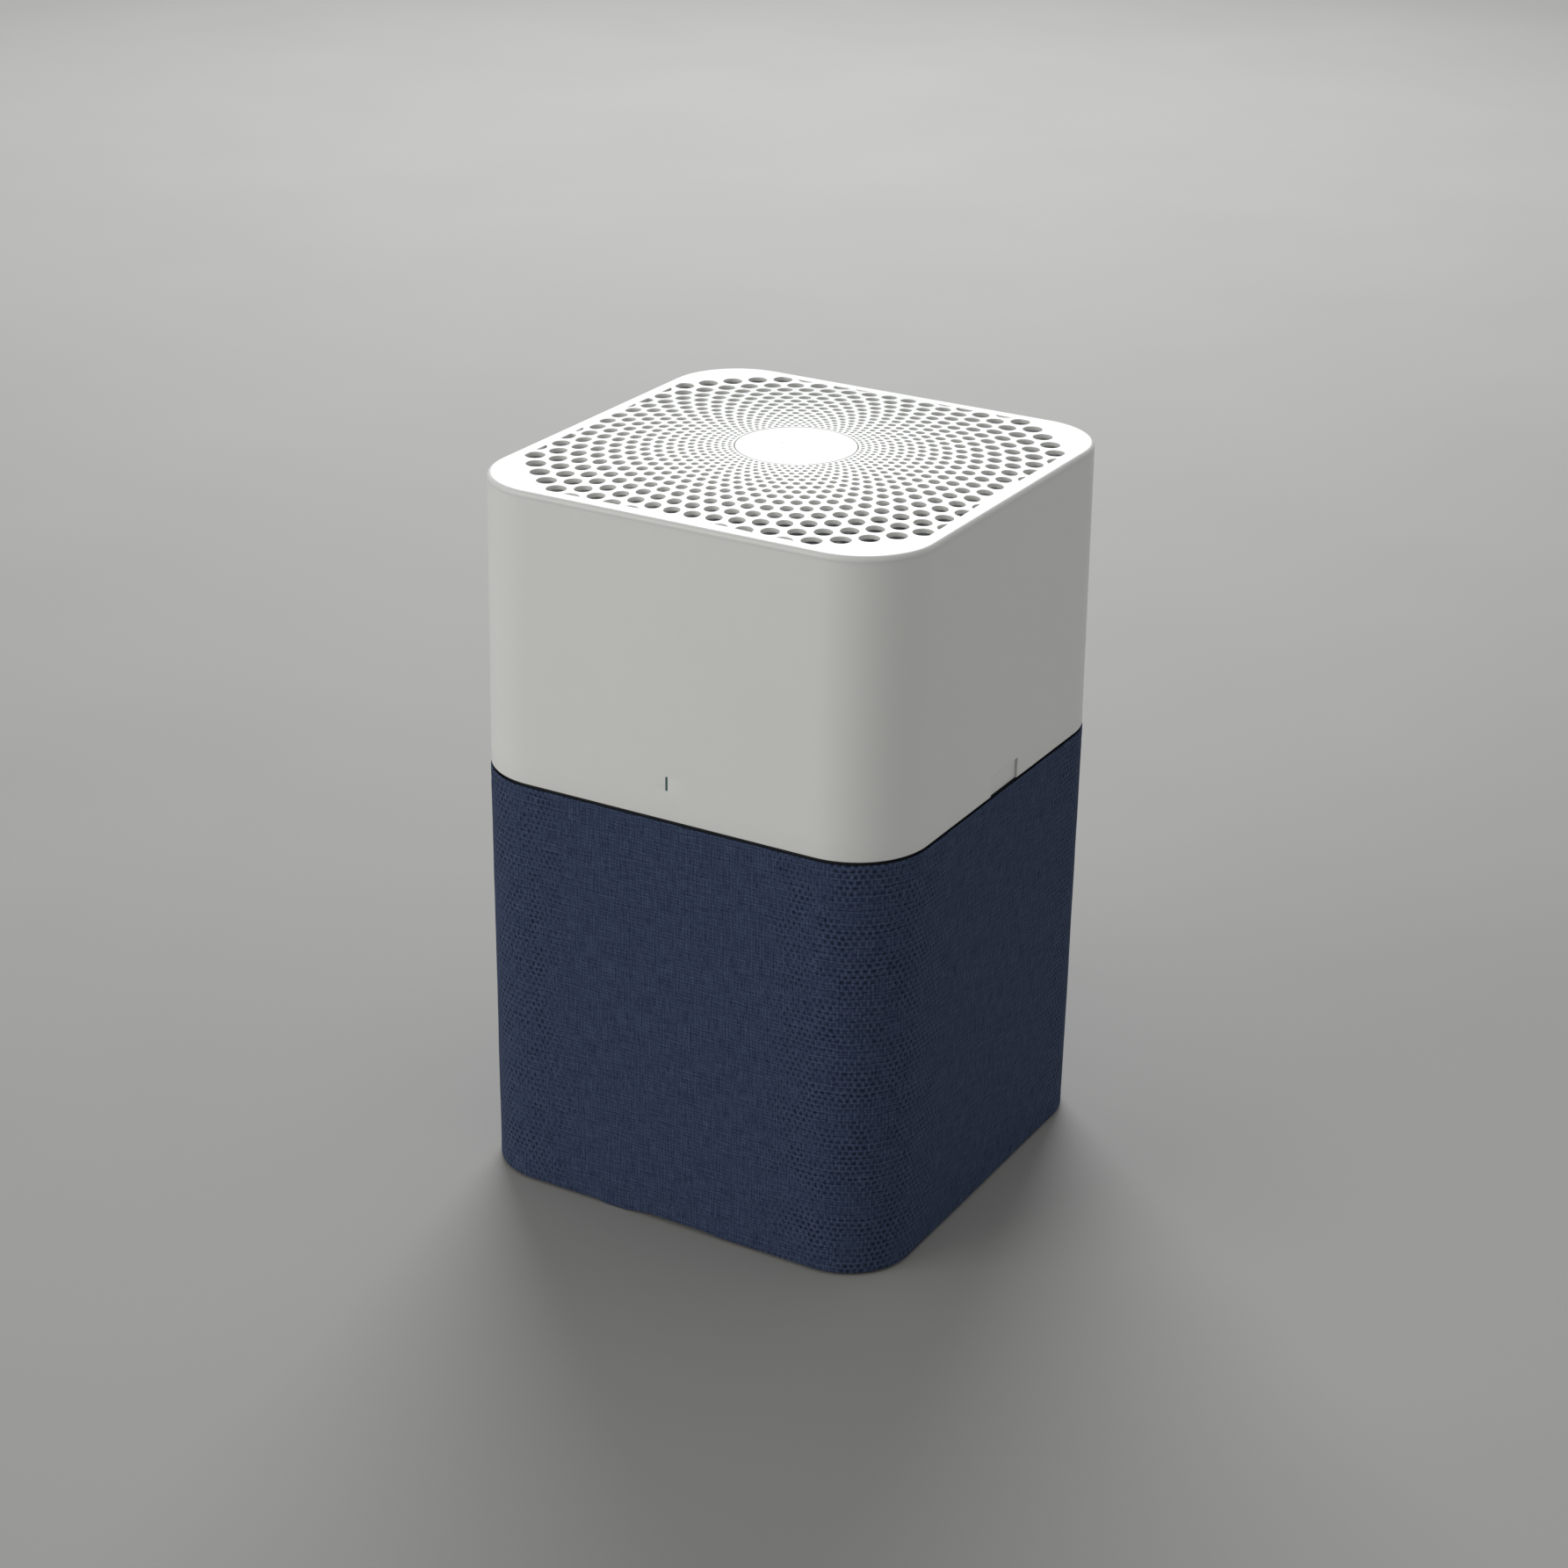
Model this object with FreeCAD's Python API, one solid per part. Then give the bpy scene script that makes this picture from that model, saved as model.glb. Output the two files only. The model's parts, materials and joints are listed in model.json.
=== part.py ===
import FreeCAD, Part
import math
import os

# Room air purifier. A white fan unit with a domed, perforated top stands on a square filter unit in a
# fabric sleeve. Millimetres, +Z up, origin at the middle of the footprint on the floor.
# The front, with its indicator window, faces -Y, and the mains inlet is at the back.

# ---- Driving dimensions --------------------------------------------------------------------------

# The outer shape: half widths and corner radii of the drafted, round-cornered square.
RIM_Z = 517.0
RIM_HALF = 164.0
RIM_CORNER = 53.0
CASING_Z = 310.0
CASING_HALF = 165.5
CASING_CORNER = 54.0
SLEEVE_TOP_Z = 306.5
SLEEVE_TOP_HALF = 166.0
SLEEVE_TOP_CORNER = 54.5
SLEEVE_BOTTOM_Z = 2.0
SLEEVE_BOTTOM_HALF = 164.0
SLEEVE_BOTTOM_CORNER = 49.5

# The top panel: a low dome with rings of staggered holes, cut off along a square inside the rim.
WALL = 3.0
PANEL_Z = RIM_Z - 4.0
ROLLED_EDGE = 3.0
DOME_RISE = 6.5
DOME_RADIUS = 160.0
HOLES_PER_RING = 60
FIRST_RING_RADIUS = 45.0
RING_GROWTH = math.exp(math.pi * math.sqrt(3.0) / HOLES_PER_RING)
RINGS = 16
HOLE_SHARE_INNER = 0.58
HOLE_SHARE_OUTER = 0.75
HOLE_LIMIT = 152.2
SMALLEST_CUT_HOLE = 1.5
SPHERE_RADIUS = (DOME_RADIUS ** 2 + DOME_RISE ** 2) / (2.0 * DOME_RISE)
SPHERE_Z = RIM_Z + DOME_RISE - SPHERE_RADIUS

# The press button in the middle of the top.
BUTTON_OPENING = 42.0
BUTTON_GAP = 0.4
COLLAR_WALL = 1.7
COLLAR_Z = 505.0
CUP_Z = 484.0
CUP_FLOOR = 3.0
BOARD_THICKNESS = 1.6
CONTROL_BOARD_Z = 490.0
CONTROL_BOARD_RADIUS = 38.0
BOARD_POST_CIRCLE = 28.0
SWITCH_BODY = 3.5
SWITCH_HEIGHT = 4.8
STEM_GAP = 2.2
SKIRT_WALL = 2.0
SKIRT_DEPTH = 8.0
DISC_UNDERSIDE_Z = 518.0
DOT_PLACES = (-18.5, -11.0)
DOT_RADII = (1.3, 0.9)
RIB_THICKNESS = 2.0
RIB_DEPTH = 7.0
FIT_GAP = 0.3

# The fan unit's floor and the air path through it.
DECK_Z = 312.0
DECK_THICKNESS = 3.0
DECK_TOP_Z = DECK_Z + DECK_THICKNESS
DECK_GAP = 0.1
DECK_NOTCH = 148.0
INLET_RADIUS = 112.5
SPIGOT_WALL = 2.5
SPIGOT_Z = 299.0
DUCT_RADIUS = 127.0
DUCT_WALL = 2.5
DUCT_TOP_Z = 436.0
DUCT_FLANGE = 136.0
FLANGE_THICKNESS = 2.5
GUARD_HEIGHT = 3.0
GUARD_RINGS = (14.0, 34.0, 54.0, 74.0, 94.0, 108.0)
GUARD_RING_WALL = 1.8
GUARD_RIM = (118.0, 124.0)
GUARD_SPOKES = 8
SCREW_PLACE = 133.0
SCREW_RADIUS = 1.9
SCREW_HEAD = 3.5
SCREW_HEAD_HEIGHT = 1.5
SCREW_SINK = 1.6
SCREW_LENGTH = 22.0
BOSS_RADIUS = 5.0
BOSS_TOP_Z = 346.0
BOSS_WEB = 26.0

# The fan and its outer-rotor motor.
HUB_RADIUS = 50.0
HUB_Z = 330.0
HUB_TOP_Z = 384.0
BLADES = 7
BLADE_TIP = 124.5
BLADE_MIDDLE_Z = 357.0
BLADE_CAMBER = 6.0
BLADE_THICKNESS = 2.4
BLADE_SECTIONS = ((36.0, 52.0, 58.0), (66.0, 40.0, 66.0), (96.0, 31.0, 74.0), (130.0, 25.0, 82.0))
HUB_WALL = 3.0
HUB_BOSS = 8.0
SHAFT_RADIUS = 3.0
BORE_GAP = 0.02
CLOSE_GAP = 0.05
CAN_RADIUS = 45.0
CAN_Z = 343.0
CAN_TOP_Z = 376.0
CAN_WALL = 3.0
CAN_FLOOR = 2.0
NUT_ACROSS = 10.0
NUT_HEIGHT = 5.0
STATOR_Z = (354.0, 370.0)
STATOR_CORE = 18.0
STATOR_RADIUS = 41.5
SHOE_THICKNESS = 4.0
SHOE_WIDTH = 22.0
TEETH = 9
TOOTH_WIDTH = 6.0
COIL_WIDTH = 11.2
COIL_OVERHANG = 2.5
COIL_GAP = 0.1
BEARING_MIDDLES_Z = (355.0, 378.0)
BEARING_WIDTH = 5.0
BALLS = 8
BALL_RADIUS = 1.2
BALL_CIRCLE = 5.75
BALL_GAP = 0.05
BEARING_OUTSIDE = 8.5
BEARING_TUBE_RADIUS = 11.0
MOTOR_PLATE_Z = 386.0
MOTOR_PLATE_TOP_Z = 389.0
MOTOR_PLATE_RADIUS = 44.0
BEARING_TUBE_Z = 350.0
MOTOR_SCREW_CIRCLE = 34.0
MOTOR_SCREW_HEAD = 3.4
GROMMET_RADIUS = 4.5
GROMMET_HEIGHT = 2.0
VANES = 11
VANE_Z = (396.0, 434.0)
VANE_THICKNESS = 2.2
VANE_TILT = 18.0
VANE_RING_WALL = 2.9
MOTOR_CUP = 52.0
MOTOR_CUP_WALL = 2.5
MOTOR_CUP_FLOOR = 3.0
MOTOR_CUP_TOP_Z = 430.0
MOTOR_CUP_LEAD_HOLE = 12.0

# The filter.
SLEEVE_THICKNESS = 2.0
HEM_BANDS_Z = ((4.0, 9.0), (300.0, 305.0))
HEM_BAND_INSETS = (2.2, 3.1)
FRAME_INSET = 3.4
FRAME_WALL = 2.5
FRAME_Z = 286.0
FRAME_PLATE_Z = 296.0
FRAME_TOP_Z = 309.4
FRAME_HOLE = 115.6
CATCH_POCKET_X = (150.0, 161.3)
CATCH_POCKET_HALF = 16.0
CATCH_POCKET_Z = 300.0
BASE_Z = 5.0
BASE_THICKNESS = 4.0
BASE_RIM_Z = 20.0
MEDIA_HALF = 156.0
MEDIA_CORNER = 43.0
MEDIA_Z = (21.0, 295.0)
PLEATS = 132
PLEAT_DEPTH = 25.0
PAPER = 3.0
CARBON_THICKNESS = 1.2
CORE_HALF = 126.0
CORE_CORNER = 30.0
CORE_WALL = 2.5
CORE_CORNER_GAP = 0.1
CORE_Z = (20.5, 295.5)
CORE_WINDOW = (52.0, 54.0)
CORE_WINDOW_COLUMNS = (-62.0, 0.0, 62.0)
CORE_WINDOW_ROWS = (34.0, 98.0, 162.0, 226.0)
GASKET_RADII = (116.5, 124.0)
GASKET_GAP = 0.4
FOOT_PLACE = 124.0
FOOT_RADIUS = 12.0
FOOT_CHAMFER = 1.2
STUD_RADIUS = 2.5
STUD_GRIP = 3.5

# The two finger latches in the sides.
LATCH_WINDOW = 20.0
LATCH_WINDOW_TOP_Z = 325.0
LATCH_FACE = 162.0
LATCH_THICKNESS = 2.8
LATCH_Z = 310.4
LATCH_GAP = 0.4
LATCH_PIN_Z = 320.0
LATCH_PIN_RADIUS = 1.5
LATCH_PIN_END = 141.0
LATCH_ARM_TOP_Z = 315.8
LATCH_ARM_THICKNESS = 2.2
HOOK_HALF = 14.0
HOOK_REACH = 161.0
HOOK_Z = (302.0, 304.5)
SPRING_SEAT = (143.0, 146.0)
SPRING_SEAT_HALF = 6.0
SPRING_SEAT_RISE = 5.5

# Indicator window, mains inlet and sensor.
SLOT_WIDTH = 1.8
SLOT_HEIGHT = 10.0
SLOT_Z = 336.0
INLET_Z = 338.0
INLET_HALF_WIDTH = 14.0
INLET_HALF_HEIGHT = 12.0
INLET_FACE = 164.8
INLET_BACK = 147.0
INLET_GAP = 0.2
PIN_SPACING = 8.6
PIN_RADIUS = 1.2
SOCKET_DEPTH = 13.0
SOCKET_LOBE = 4.5
SOCKET_LOBE_PLACE = 3.0
INLET_FLANGE_Y = (159.0, 161.5)
INLET_FLANGE_EDGE = (4.0, 3.0)
LENS_FACE = 165.0
SENSOR_X = -56.0
SENSOR_Z = 344.0
SENSOR_HALF = (20.0, 18.0)
SENSOR_Y = (141.0, 161.6)
VENTS = 5
VENT_PITCH = 5.0
VENT_HALF = (1.0, 9.0)

PANEL_THROUGH = 12.0
SPRING_STEPS = 8

X_AXIS = FreeCAD.Vector(1, 0, 0)
Y_AXIS = FreeCAD.Vector(0, 1, 0)
Z_AXIS = FreeCAD.Vector(0, 0, 1)
ORIGIN = FreeCAD.Vector(0, 0, 0)


# ---- Shapes that several parts are made of ---------------------------------------------------------

def vec(x, y, z=0.0):
    return FreeCAD.Vector(x, y, z)


def save(name, *solids):
    shape = solids[0] if len(solids) == 1 else Part.makeCompound(list(solids))
    shape.exportStep("parts/" + name + ".step")


def block(x, y, z):
    """Box between the two limits given for each axis."""
    size = [abs(high - low) for low, high in (x, y, z)]
    return Part.makeBox(*size, vec(min(x), min(y), min(z)))


def rod(radius, z, x=0.0, y=0.0):
    """Upright cylinder between the two heights in z."""
    return Part.makeCylinder(radius, z[1] - z[0], vec(x, y, z[0]))


def tube(outer, inner, z, x=0.0, y=0.0):
    return rod(outer, z, x, y).cut(rod(inner, (z[0] - 1, z[1] + 1), x, y))


def round_z(shape, count, start=0.0):
    """Copies of shape, evenly spaced round the Z axis."""
    return [shape.rotated(ORIGIN, Z_AXIS, start + 360.0 * i / count) for i in range(count)]


def fused(first, *others):
    return first.fuse(list(others)).removeSplitter()


def rounded_square(half, corner, z):
    """Closed outline of a square with round corners, centred on the Z axis."""
    flat = half - corner
    middle = flat + corner * math.sqrt(0.5)
    side = Part.LineSegment(vec(half, -flat, z), vec(half, flat, z)).toShape()
    bend = Part.Arc(vec(half, flat, z), vec(middle, middle, z), vec(flat, half, z)).toShape()
    edges = []
    for turn in range(4):
        edges.append(side.rotated(ORIGIN, Z_AXIS, 90.0 * turn))
        edges.append(bend.rotated(ORIGIN, Z_AXIS, 90.0 * turn))
    return Part.Wire(edges)


def square_block(half, corner, z):
    """Round-cornered square prism with upright sides."""
    return Part.Face(rounded_square(half, corner, z[0])).extrude(vec(0, 0, z[1] - z[0]))


def between(low, high, share):
    return low + (high - low) * share


def casing_block(inset, z):
    """Solid with the white casing's drafted outline, drawn in by inset all round."""
    outlines = []
    for height in z:
        share = (height - CASING_Z) / (RIM_Z - CASING_Z)
        half = between(CASING_HALF, RIM_HALF, share) - inset
        corner = between(CASING_CORNER, RIM_CORNER, share) - inset
        outlines.append(rounded_square(half, corner, height))
    return Part.makeLoft(outlines, True, True)


def sleeve_block(inset, z):
    """Solid with the fabric sleeve's tapered outline, drawn in by inset all round."""
    outlines = []
    for height in z:
        share = (height - SLEEVE_BOTTOM_Z) / (SLEEVE_TOP_Z - SLEEVE_BOTTOM_Z)
        half = between(SLEEVE_BOTTOM_HALF, SLEEVE_TOP_HALF, share) - inset
        corner = between(SLEEVE_BOTTOM_CORNER, SLEEVE_TOP_CORNER, share) - inset
        outlines.append(rounded_square(half, corner, height))
    return Part.makeLoft(outlines, True, True)


def dome(radius=SPHERE_RADIUS):
    """The part above the rim of the sphere that crowns the top panel, or of a smaller one inside it."""
    floor = RIM_Z - (SPHERE_RADIUS - radius)
    latitude = math.degrees(math.asin((floor - SPHERE_Z) / radius))
    return Part.makeSphere(radius, vec(0, 0, SPHERE_Z), Z_AXIS, latitude, 90.0, 360.0)


def lead(route, radius):
    """Round wire of straight runs joined by tangent arcs, each as large as its two runs allow."""
    share_of_run = 0.45
    edges = []
    start = route[0]
    for before, corner, after in zip(route, route[1:], route[2:]):
        towards_before = (before - corner).normalize()
        towards_after = (after - corner).normalize()
        tangent = share_of_run * min(before.distanceToPoint(corner), corner.distanceToPoint(after))
        half_angle = towards_before.getAngle(towards_after) / 2.0
        bisector = (towards_before + towards_after).normalize()
        to_arc = tangent / math.cos(half_angle) - tangent * math.tan(half_angle)
        arc_start = corner + towards_before * tangent
        arc_end = corner + towards_after * tangent
        edges.append(Part.LineSegment(start, arc_start).toShape())
        edges.append(Part.Arc(arc_start, corner + bisector * to_arc, arc_end).toShape())
        start = arc_end
    edges.append(Part.LineSegment(start, route[-1]).toShape())
    section = Part.Wire(Part.makeCircle(radius, route[0], route[1] - route[0]))
    return Part.Wire(edges).makePipeShell([section], True, False)


def coil_spring(radius, wire, length, turns):
    """Coil spring that stands on the origin and runs up the Z axis, bent in equal steps."""
    steps = SPRING_STEPS * turns
    end_gap = 1.1 * wire
    corner_radius = radius / math.cos(math.pi / SPRING_STEPS)
    route = []
    for step in range(steps + 1):
        angle = 2.0 * math.pi * step / SPRING_STEPS
        height = between(end_gap, length - end_gap, step / steps)
        route.append(vec(corner_radius * math.cos(angle), corner_radius * math.sin(angle), height))
    return lead(route, wire)


def hex_prism(across, z):
    radius = across / math.sqrt(3.0)
    angles = [math.pi / 3.0 * i for i in range(7)]
    corners = [vec(radius * math.cos(angle), radius * math.sin(angle), z[0]) for angle in angles]
    return Part.Face(Part.makePolygon(corners)).extrude(vec(0, 0, z[1] - z[0]))


# ---- Filter unit -------------------------------------------------------------------------------------

def prefilter_sleeve():
    z = (SLEEVE_BOTTOM_Z, SLEEVE_TOP_Z)
    return sleeve_block(0.0, z).cut(sleeve_block(SLEEVE_THICKNESS, z))


def hem_bands():
    """Elastic bands inside the sleeve's two hems."""
    bands = []
    outer, inner = HEM_BAND_INSETS
    for z in HEM_BANDS_Z:
        bands.append(sleeve_block(outer, z).cut(sleeve_block(inner, z)))
    return bands


def filter_top_frame():
    """Plate that closes the filter's top, with the air's way out and a catch pocket for each latch."""
    frame = sleeve_block(FRAME_INSET, (FRAME_Z, FRAME_TOP_Z))
    frame = frame.cut(sleeve_block(FRAME_INSET + FRAME_WALL, (FRAME_Z - 1, FRAME_PLATE_Z)))
    frame = frame.cut(rod(FRAME_HOLE, (FRAME_Z, FRAME_TOP_Z + 1)))
    for side in (-1, 1):
        across = [side * place for place in CATCH_POCKET_X]
        along = (-CATCH_POCKET_HALF, CATCH_POCKET_HALF)
        frame = frame.cut(block(across, along, (CATCH_POCKET_Z, FRAME_TOP_Z + 1)))
    return frame


def along_rounded_square(half, corner, distance):
    """Point at a distance along a round-cornered square's outline, with its outward direction."""
    flat = 2.0 * (half - corner)
    bend = corner * math.pi / 2.0
    quarter = int(distance // (flat + bend)) % 4
    rest = distance % (flat + bend)
    if rest < flat:
        point = vec(half, rest - flat / 2.0)
        outward = vec(1, 0)
    else:
        angle = (rest - flat) / corner
        outward = vec(math.cos(angle), math.sin(angle))
        point = vec(flat / 2.0, flat / 2.0) + outward * corner
    turn = FreeCAD.Rotation(Z_AXIS, 90.0 * quarter)
    return turn.multVec(point), turn.multVec(outward)


def pleat_outline(inset, z):
    """Closed zigzag round the filter, with its folds alternately outside and inside."""
    length = 8.0 * (MEDIA_HALF - MEDIA_CORNER) + 2.0 * math.pi * MEDIA_CORNER
    folds = []
    for fold in range(2 * PLEATS):
        point, outward = along_rounded_square(MEDIA_HALF, MEDIA_CORNER, length * fold / (2 * PLEATS))
        depth = inset + PLEAT_DEPTH * (fold % 2)
        folds.append(point - outward * depth + vec(0, 0, z))
    return Part.makePolygon(folds + folds[:1])


def filter_media():
    """Pleated paper, standing between the base and the top frame."""
    low, high = MEDIA_Z
    ring = Part.Face([pleat_outline(0.0, low), pleat_outline(PAPER, low)])
    return ring.extrude(vec(0, 0, high - low))


def carbon_sheet():
    """Felt wrapped round the core."""
    growth = FIT_GAP + CARBON_THICKNESS
    outside = square_block(CORE_HALF + growth, CORE_CORNER + growth, MEDIA_Z)
    return outside.cut(square_block(CORE_HALF + FIT_GAP, CORE_CORNER + FIT_GAP, MEDIA_Z))


def quarter_wedge(reach, gap, z):
    """Prism over the quarter of the plan round +X, half the gap short of both diagonals."""
    tip = gap / math.sqrt(2.0)
    corners = [vec(tip, 0, z[0]), vec(reach, tip - reach, z[0]), vec(reach, reach - tip, z[0])]
    face = Part.Face(Part.makePolygon(corners + corners[:1]))
    return face.extrude(vec(0, 0, z[1] - z[0]))


def filter_core():
    """Cage of four moulded sides that meet at the corners, each with a grid of windows."""
    low, high = CORE_Z
    cage = square_block(CORE_HALF, CORE_CORNER, CORE_Z)
    cage = cage.cut(square_block(CORE_HALF - CORE_WALL, CORE_CORNER - CORE_WALL, (low - 1, high + 1)))
    width, height = CORE_WINDOW
    through = (-CORE_HALF - 1, CORE_HALF + 1)
    windows = []
    for column in CORE_WINDOW_COLUMNS:
        for row in CORE_WINDOW_ROWS:
            window = block(through, (column - width / 2, column + width / 2), (row, row + height))
            windows.append(window)
            windows.append(window.rotated(ORIGIN, Z_AXIS, 90))
    cage = cage.cut(Part.makeCompound(windows))
    side = cage.common(quarter_wedge(2 * CORE_HALF, CORE_CORNER_GAP, (low - 1, high + 1)))
    return round_z(side, 4)


def filter_base():
    """Tray under the filter, with a hole for each foot's stud."""
    base = sleeve_block(FRAME_INSET, (BASE_Z, BASE_RIM_Z))
    base = base.cut(sleeve_block(FRAME_INSET + FRAME_WALL, (BASE_Z + BASE_THICKNESS, BASE_RIM_Z + 1)))
    hole = STUD_RADIUS + CLOSE_GAP
    stud_holes = [rod(hole, (BASE_Z - 1, BASE_Z + BASE_THICKNESS + 1), x, y) for x, y in foot_places()]
    return base.cut(Part.makeCompound(stud_holes))


def foot_places():
    return [(x, y) for y in (-FOOT_PLACE, FOOT_PLACE) for x in (-FOOT_PLACE, FOOT_PLACE)]


def rubber_foot(x, y):
    """Round pad with a softened lower edge and a stud that presses into the base."""
    edge = Part.makeCone(FOOT_RADIUS - FOOT_CHAMFER, FOOT_RADIUS, FOOT_CHAMFER, vec(x, y, 0))
    pad = rod(FOOT_RADIUS, (FOOT_CHAMFER, BASE_Z), x, y)
    stud = rod(STUD_RADIUS, (FOOT_CHAMFER, BASE_Z + STUD_GRIP), x, y)
    return fused(edge, pad, stud)


def filter_gasket():
    inner, outer = GASKET_RADII
    return tube(outer, inner, (FRAME_TOP_Z, DECK_Z - GASKET_GAP))


# ---- Fan unit: casing, top panel and floor -----------------------------------------------------------

def screw_places():
    return [(x, y) for y in (-SCREW_PLACE, SCREW_PLACE) for x in (-SCREW_PLACE, SCREW_PLACE)]


def upper_casing():
    """White shell with four screw posts, and openings for the indicator, latches, inlet and sensor."""
    z = (CASING_Z, PANEL_Z)
    shell = casing_block(0.0, z)
    hollow = casing_block(WALL, (CASING_Z - 0.01, PANEL_Z + 0.01))
    posts = []
    for x, y in screw_places():
        posts.append(rod(BOSS_RADIUS, (DECK_TOP_Z, BOSS_TOP_Z), x, y))
        web = block((0.0, BOSS_WEB), (-RIB_THICKNESS / 2, RIB_THICKNESS / 2), (DECK_TOP_Z, BOSS_TOP_Z))
        web.rotate(ORIGIN, Z_AXIS, math.degrees(math.atan2(y, x)))
        posts.append(web.translated(vec(x, y)))
    inside = casing_block(WALL / 2.0, z)
    posts = Part.makeCompound(posts).common(inside)
    shell = shell.cut(hollow).fuse(posts)
    openings = [rod(SCREW_RADIUS + 0.05, (DECK_Z, BOSS_TOP_Z - 5), x, y) for x, y in screw_places()]
    outside = CASING_HALF + 5.0
    inner = CASING_HALF - 8.0
    half_slot = SLOT_HEIGHT / 2.0
    openings.append(block((-SLOT_WIDTH / 2, SLOT_WIDTH / 2), (-outside, -inner),
                          (SLOT_Z - half_slot, SLOT_Z + half_slot)))
    for side in (-1, 1):
        openings.append(block((side * inner, side * outside), (-LATCH_WINDOW, LATCH_WINDOW),
                              (CASING_Z - 5, LATCH_WINDOW_TOP_Z)))
    half_width = INLET_HALF_WIDTH + INLET_GAP
    half_height = INLET_HALF_HEIGHT + INLET_GAP
    openings.append(block((-half_width, half_width), (inner, outside),
                          (INLET_Z - half_height, INLET_Z + half_height)))
    half_width, half_height = VENT_HALF
    for x in vent_places():
        openings.append(block((x - half_width, x + half_width), (inner, outside),
                              (SENSOR_Z - half_height, SENSOR_Z + half_height)))
    return shell.cut(Part.makeCompound(openings)).removeSplitter()


def vent_places():
    return [SENSOR_X + VENT_PITCH * (vent - (VENTS - 1) / 2.0) for vent in range(VENTS)]


def hole_through_panel(x, y, radius):
    """Straight hole square to the dome, or to the flat rim outside it."""
    depth = PANEL_THROUGH
    if math.hypot(x, y) > DOME_RADIUS:
        return rod(radius, (RIM_Z - depth / 2.0, RIM_Z + depth / 2.0), x, y)
    height = SPHERE_Z + math.sqrt(SPHERE_RADIUS ** 2 - x ** 2 - y ** 2)
    outward = (vec(x, y, height) - vec(0, 0, SPHERE_Z)).normalize()
    return Part.makeCylinder(radius, depth, vec(x, y, height) - outward * (depth / 2.0), outward)


def grille_holes():
    """Cylinders for the rings of holes. Those that reach past the square limit are cut off along it."""
    sides = (-HOLE_LIMIT, HOLE_LIMIT)
    field = block(sides, sides, (PANEL_Z - 10.0, RIM_Z + DOME_RISE + 10.0))
    holes = []
    for ring in range(RINGS):
        radius = FIRST_RING_RADIUS * RING_GROWTH ** ring
        pitch = 2.0 * math.pi * radius / HOLES_PER_RING
        hole_radius = pitch / 2.0 * between(HOLE_SHARE_INNER, HOLE_SHARE_OUTER, ring / (RINGS - 1.0))
        for step in range(HOLES_PER_RING):
            angle = 2.0 * math.pi * (step + ring_stagger(ring)) / HOLES_PER_RING
            x = radius * math.cos(angle)
            y = radius * math.sin(angle)
            reach = max(abs(x), abs(y))
            if reach - hole_radius > HOLE_LIMIT - SMALLEST_CUT_HOLE:
                continue
            hole = hole_through_panel(x, y, hole_radius)
            if reach + hole_radius > HOLE_LIMIT:
                hole = hole.common(field)
            holes.append(hole)
    return holes


def ring_stagger(ring):
    """Every second ring is turned by half a hole's spacing."""
    return 0.5 * (ring % 2)


def top_grille():
    """Top panel with a rolled edge, a locating rib inside the casing and a collar for the button."""
    slab = square_block(RIM_HALF, RIM_CORNER, (PANEL_Z, RIM_Z))
    top_edges = [edge for edge in slab.Edges if edge.BoundBox.ZMin > RIM_Z - 0.01]
    slab = slab.makeFillet(ROLLED_EDGE, top_edges)
    panel = slab.fuse(dome())
    hollow = square_block(RIM_HALF - WALL, RIM_CORNER - WALL, (PANEL_Z - 1, RIM_Z - WALL))
    panel = panel.cut(hollow.fuse(dome(SPHERE_RADIUS - WALL)))
    rib_z = (PANEL_Z - RIB_DEPTH, RIM_Z - WALL)
    outer = WALL + FIT_GAP
    inner = outer + RIB_THICKNESS
    rib = square_block(RIM_HALF - outer, RIM_CORNER - outer, rib_z)
    rib = rib.cut(square_block(RIM_HALF - inner, RIM_CORNER - inner, rib_z))
    collar_radius = BUTTON_OPENING + COLLAR_WALL
    collar = rod(collar_radius, (COLLAR_Z, RIM_Z + DOME_RISE - WALL / 2.0))
    under_dome = dome().fuse(rod(collar_radius + 1, (COLLAR_Z, RIM_Z)))
    panel = panel.fuse([rib, collar.common(under_dome)])
    panel = panel.cut(rod(BUTTON_OPENING, (COLLAR_Z - 1, RIM_Z + 2 * DOME_RISE)))
    return panel.cut(Part.makeCompound(grille_holes()))


def deck_plate():
    """Floor of the fan unit: inlet hole with a spigot below, and a guided spring seat for each latch."""
    plate = casing_block(WALL + DECK_GAP, (DECK_Z, DECK_TOP_Z))
    spigot = rod(INLET_RADIUS + SPIGOT_WALL, (SPIGOT_Z, DECK_Z))
    seats = []
    cuts = [rod(INLET_RADIUS, (SPIGOT_Z - 1, DECK_TOP_Z + 1))]
    for side in (-1, 1):
        seat = [side * place for place in SPRING_SEAT]
        seats.append(block(seat, (-SPRING_SEAT_HALF, SPRING_SEAT_HALF),
                           (DECK_Z, LATCH_PIN_Z + SPRING_SEAT_RISE)))
        guide_start = vec(side * (SPRING_SEAT[0] - 3), 0, LATCH_PIN_Z)
        guide = Part.makeCylinder(LATCH_PIN_RADIUS + DECK_GAP, 10.0, guide_start, X_AXIS * side)
        notch = block((side * DECK_NOTCH, side * CASING_HALF), (-LATCH_WINDOW - 0.5, LATCH_WINDOW + 0.5),
                      (DECK_Z - 1, DECK_TOP_Z + 1))
        cuts += [guide, notch]
    for x, y in screw_places():
        cuts.append(rod(SCREW_RADIUS + FIT_GAP, (DECK_Z - 1, DECK_TOP_Z + 1), x, y))
        cuts.append(rod(SCREW_HEAD + 0.5, (DECK_Z - 1, DECK_Z + SCREW_SINK), x, y))
    return fused(plate, spigot, *seats).cut(Part.makeCompound(cuts))


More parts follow.
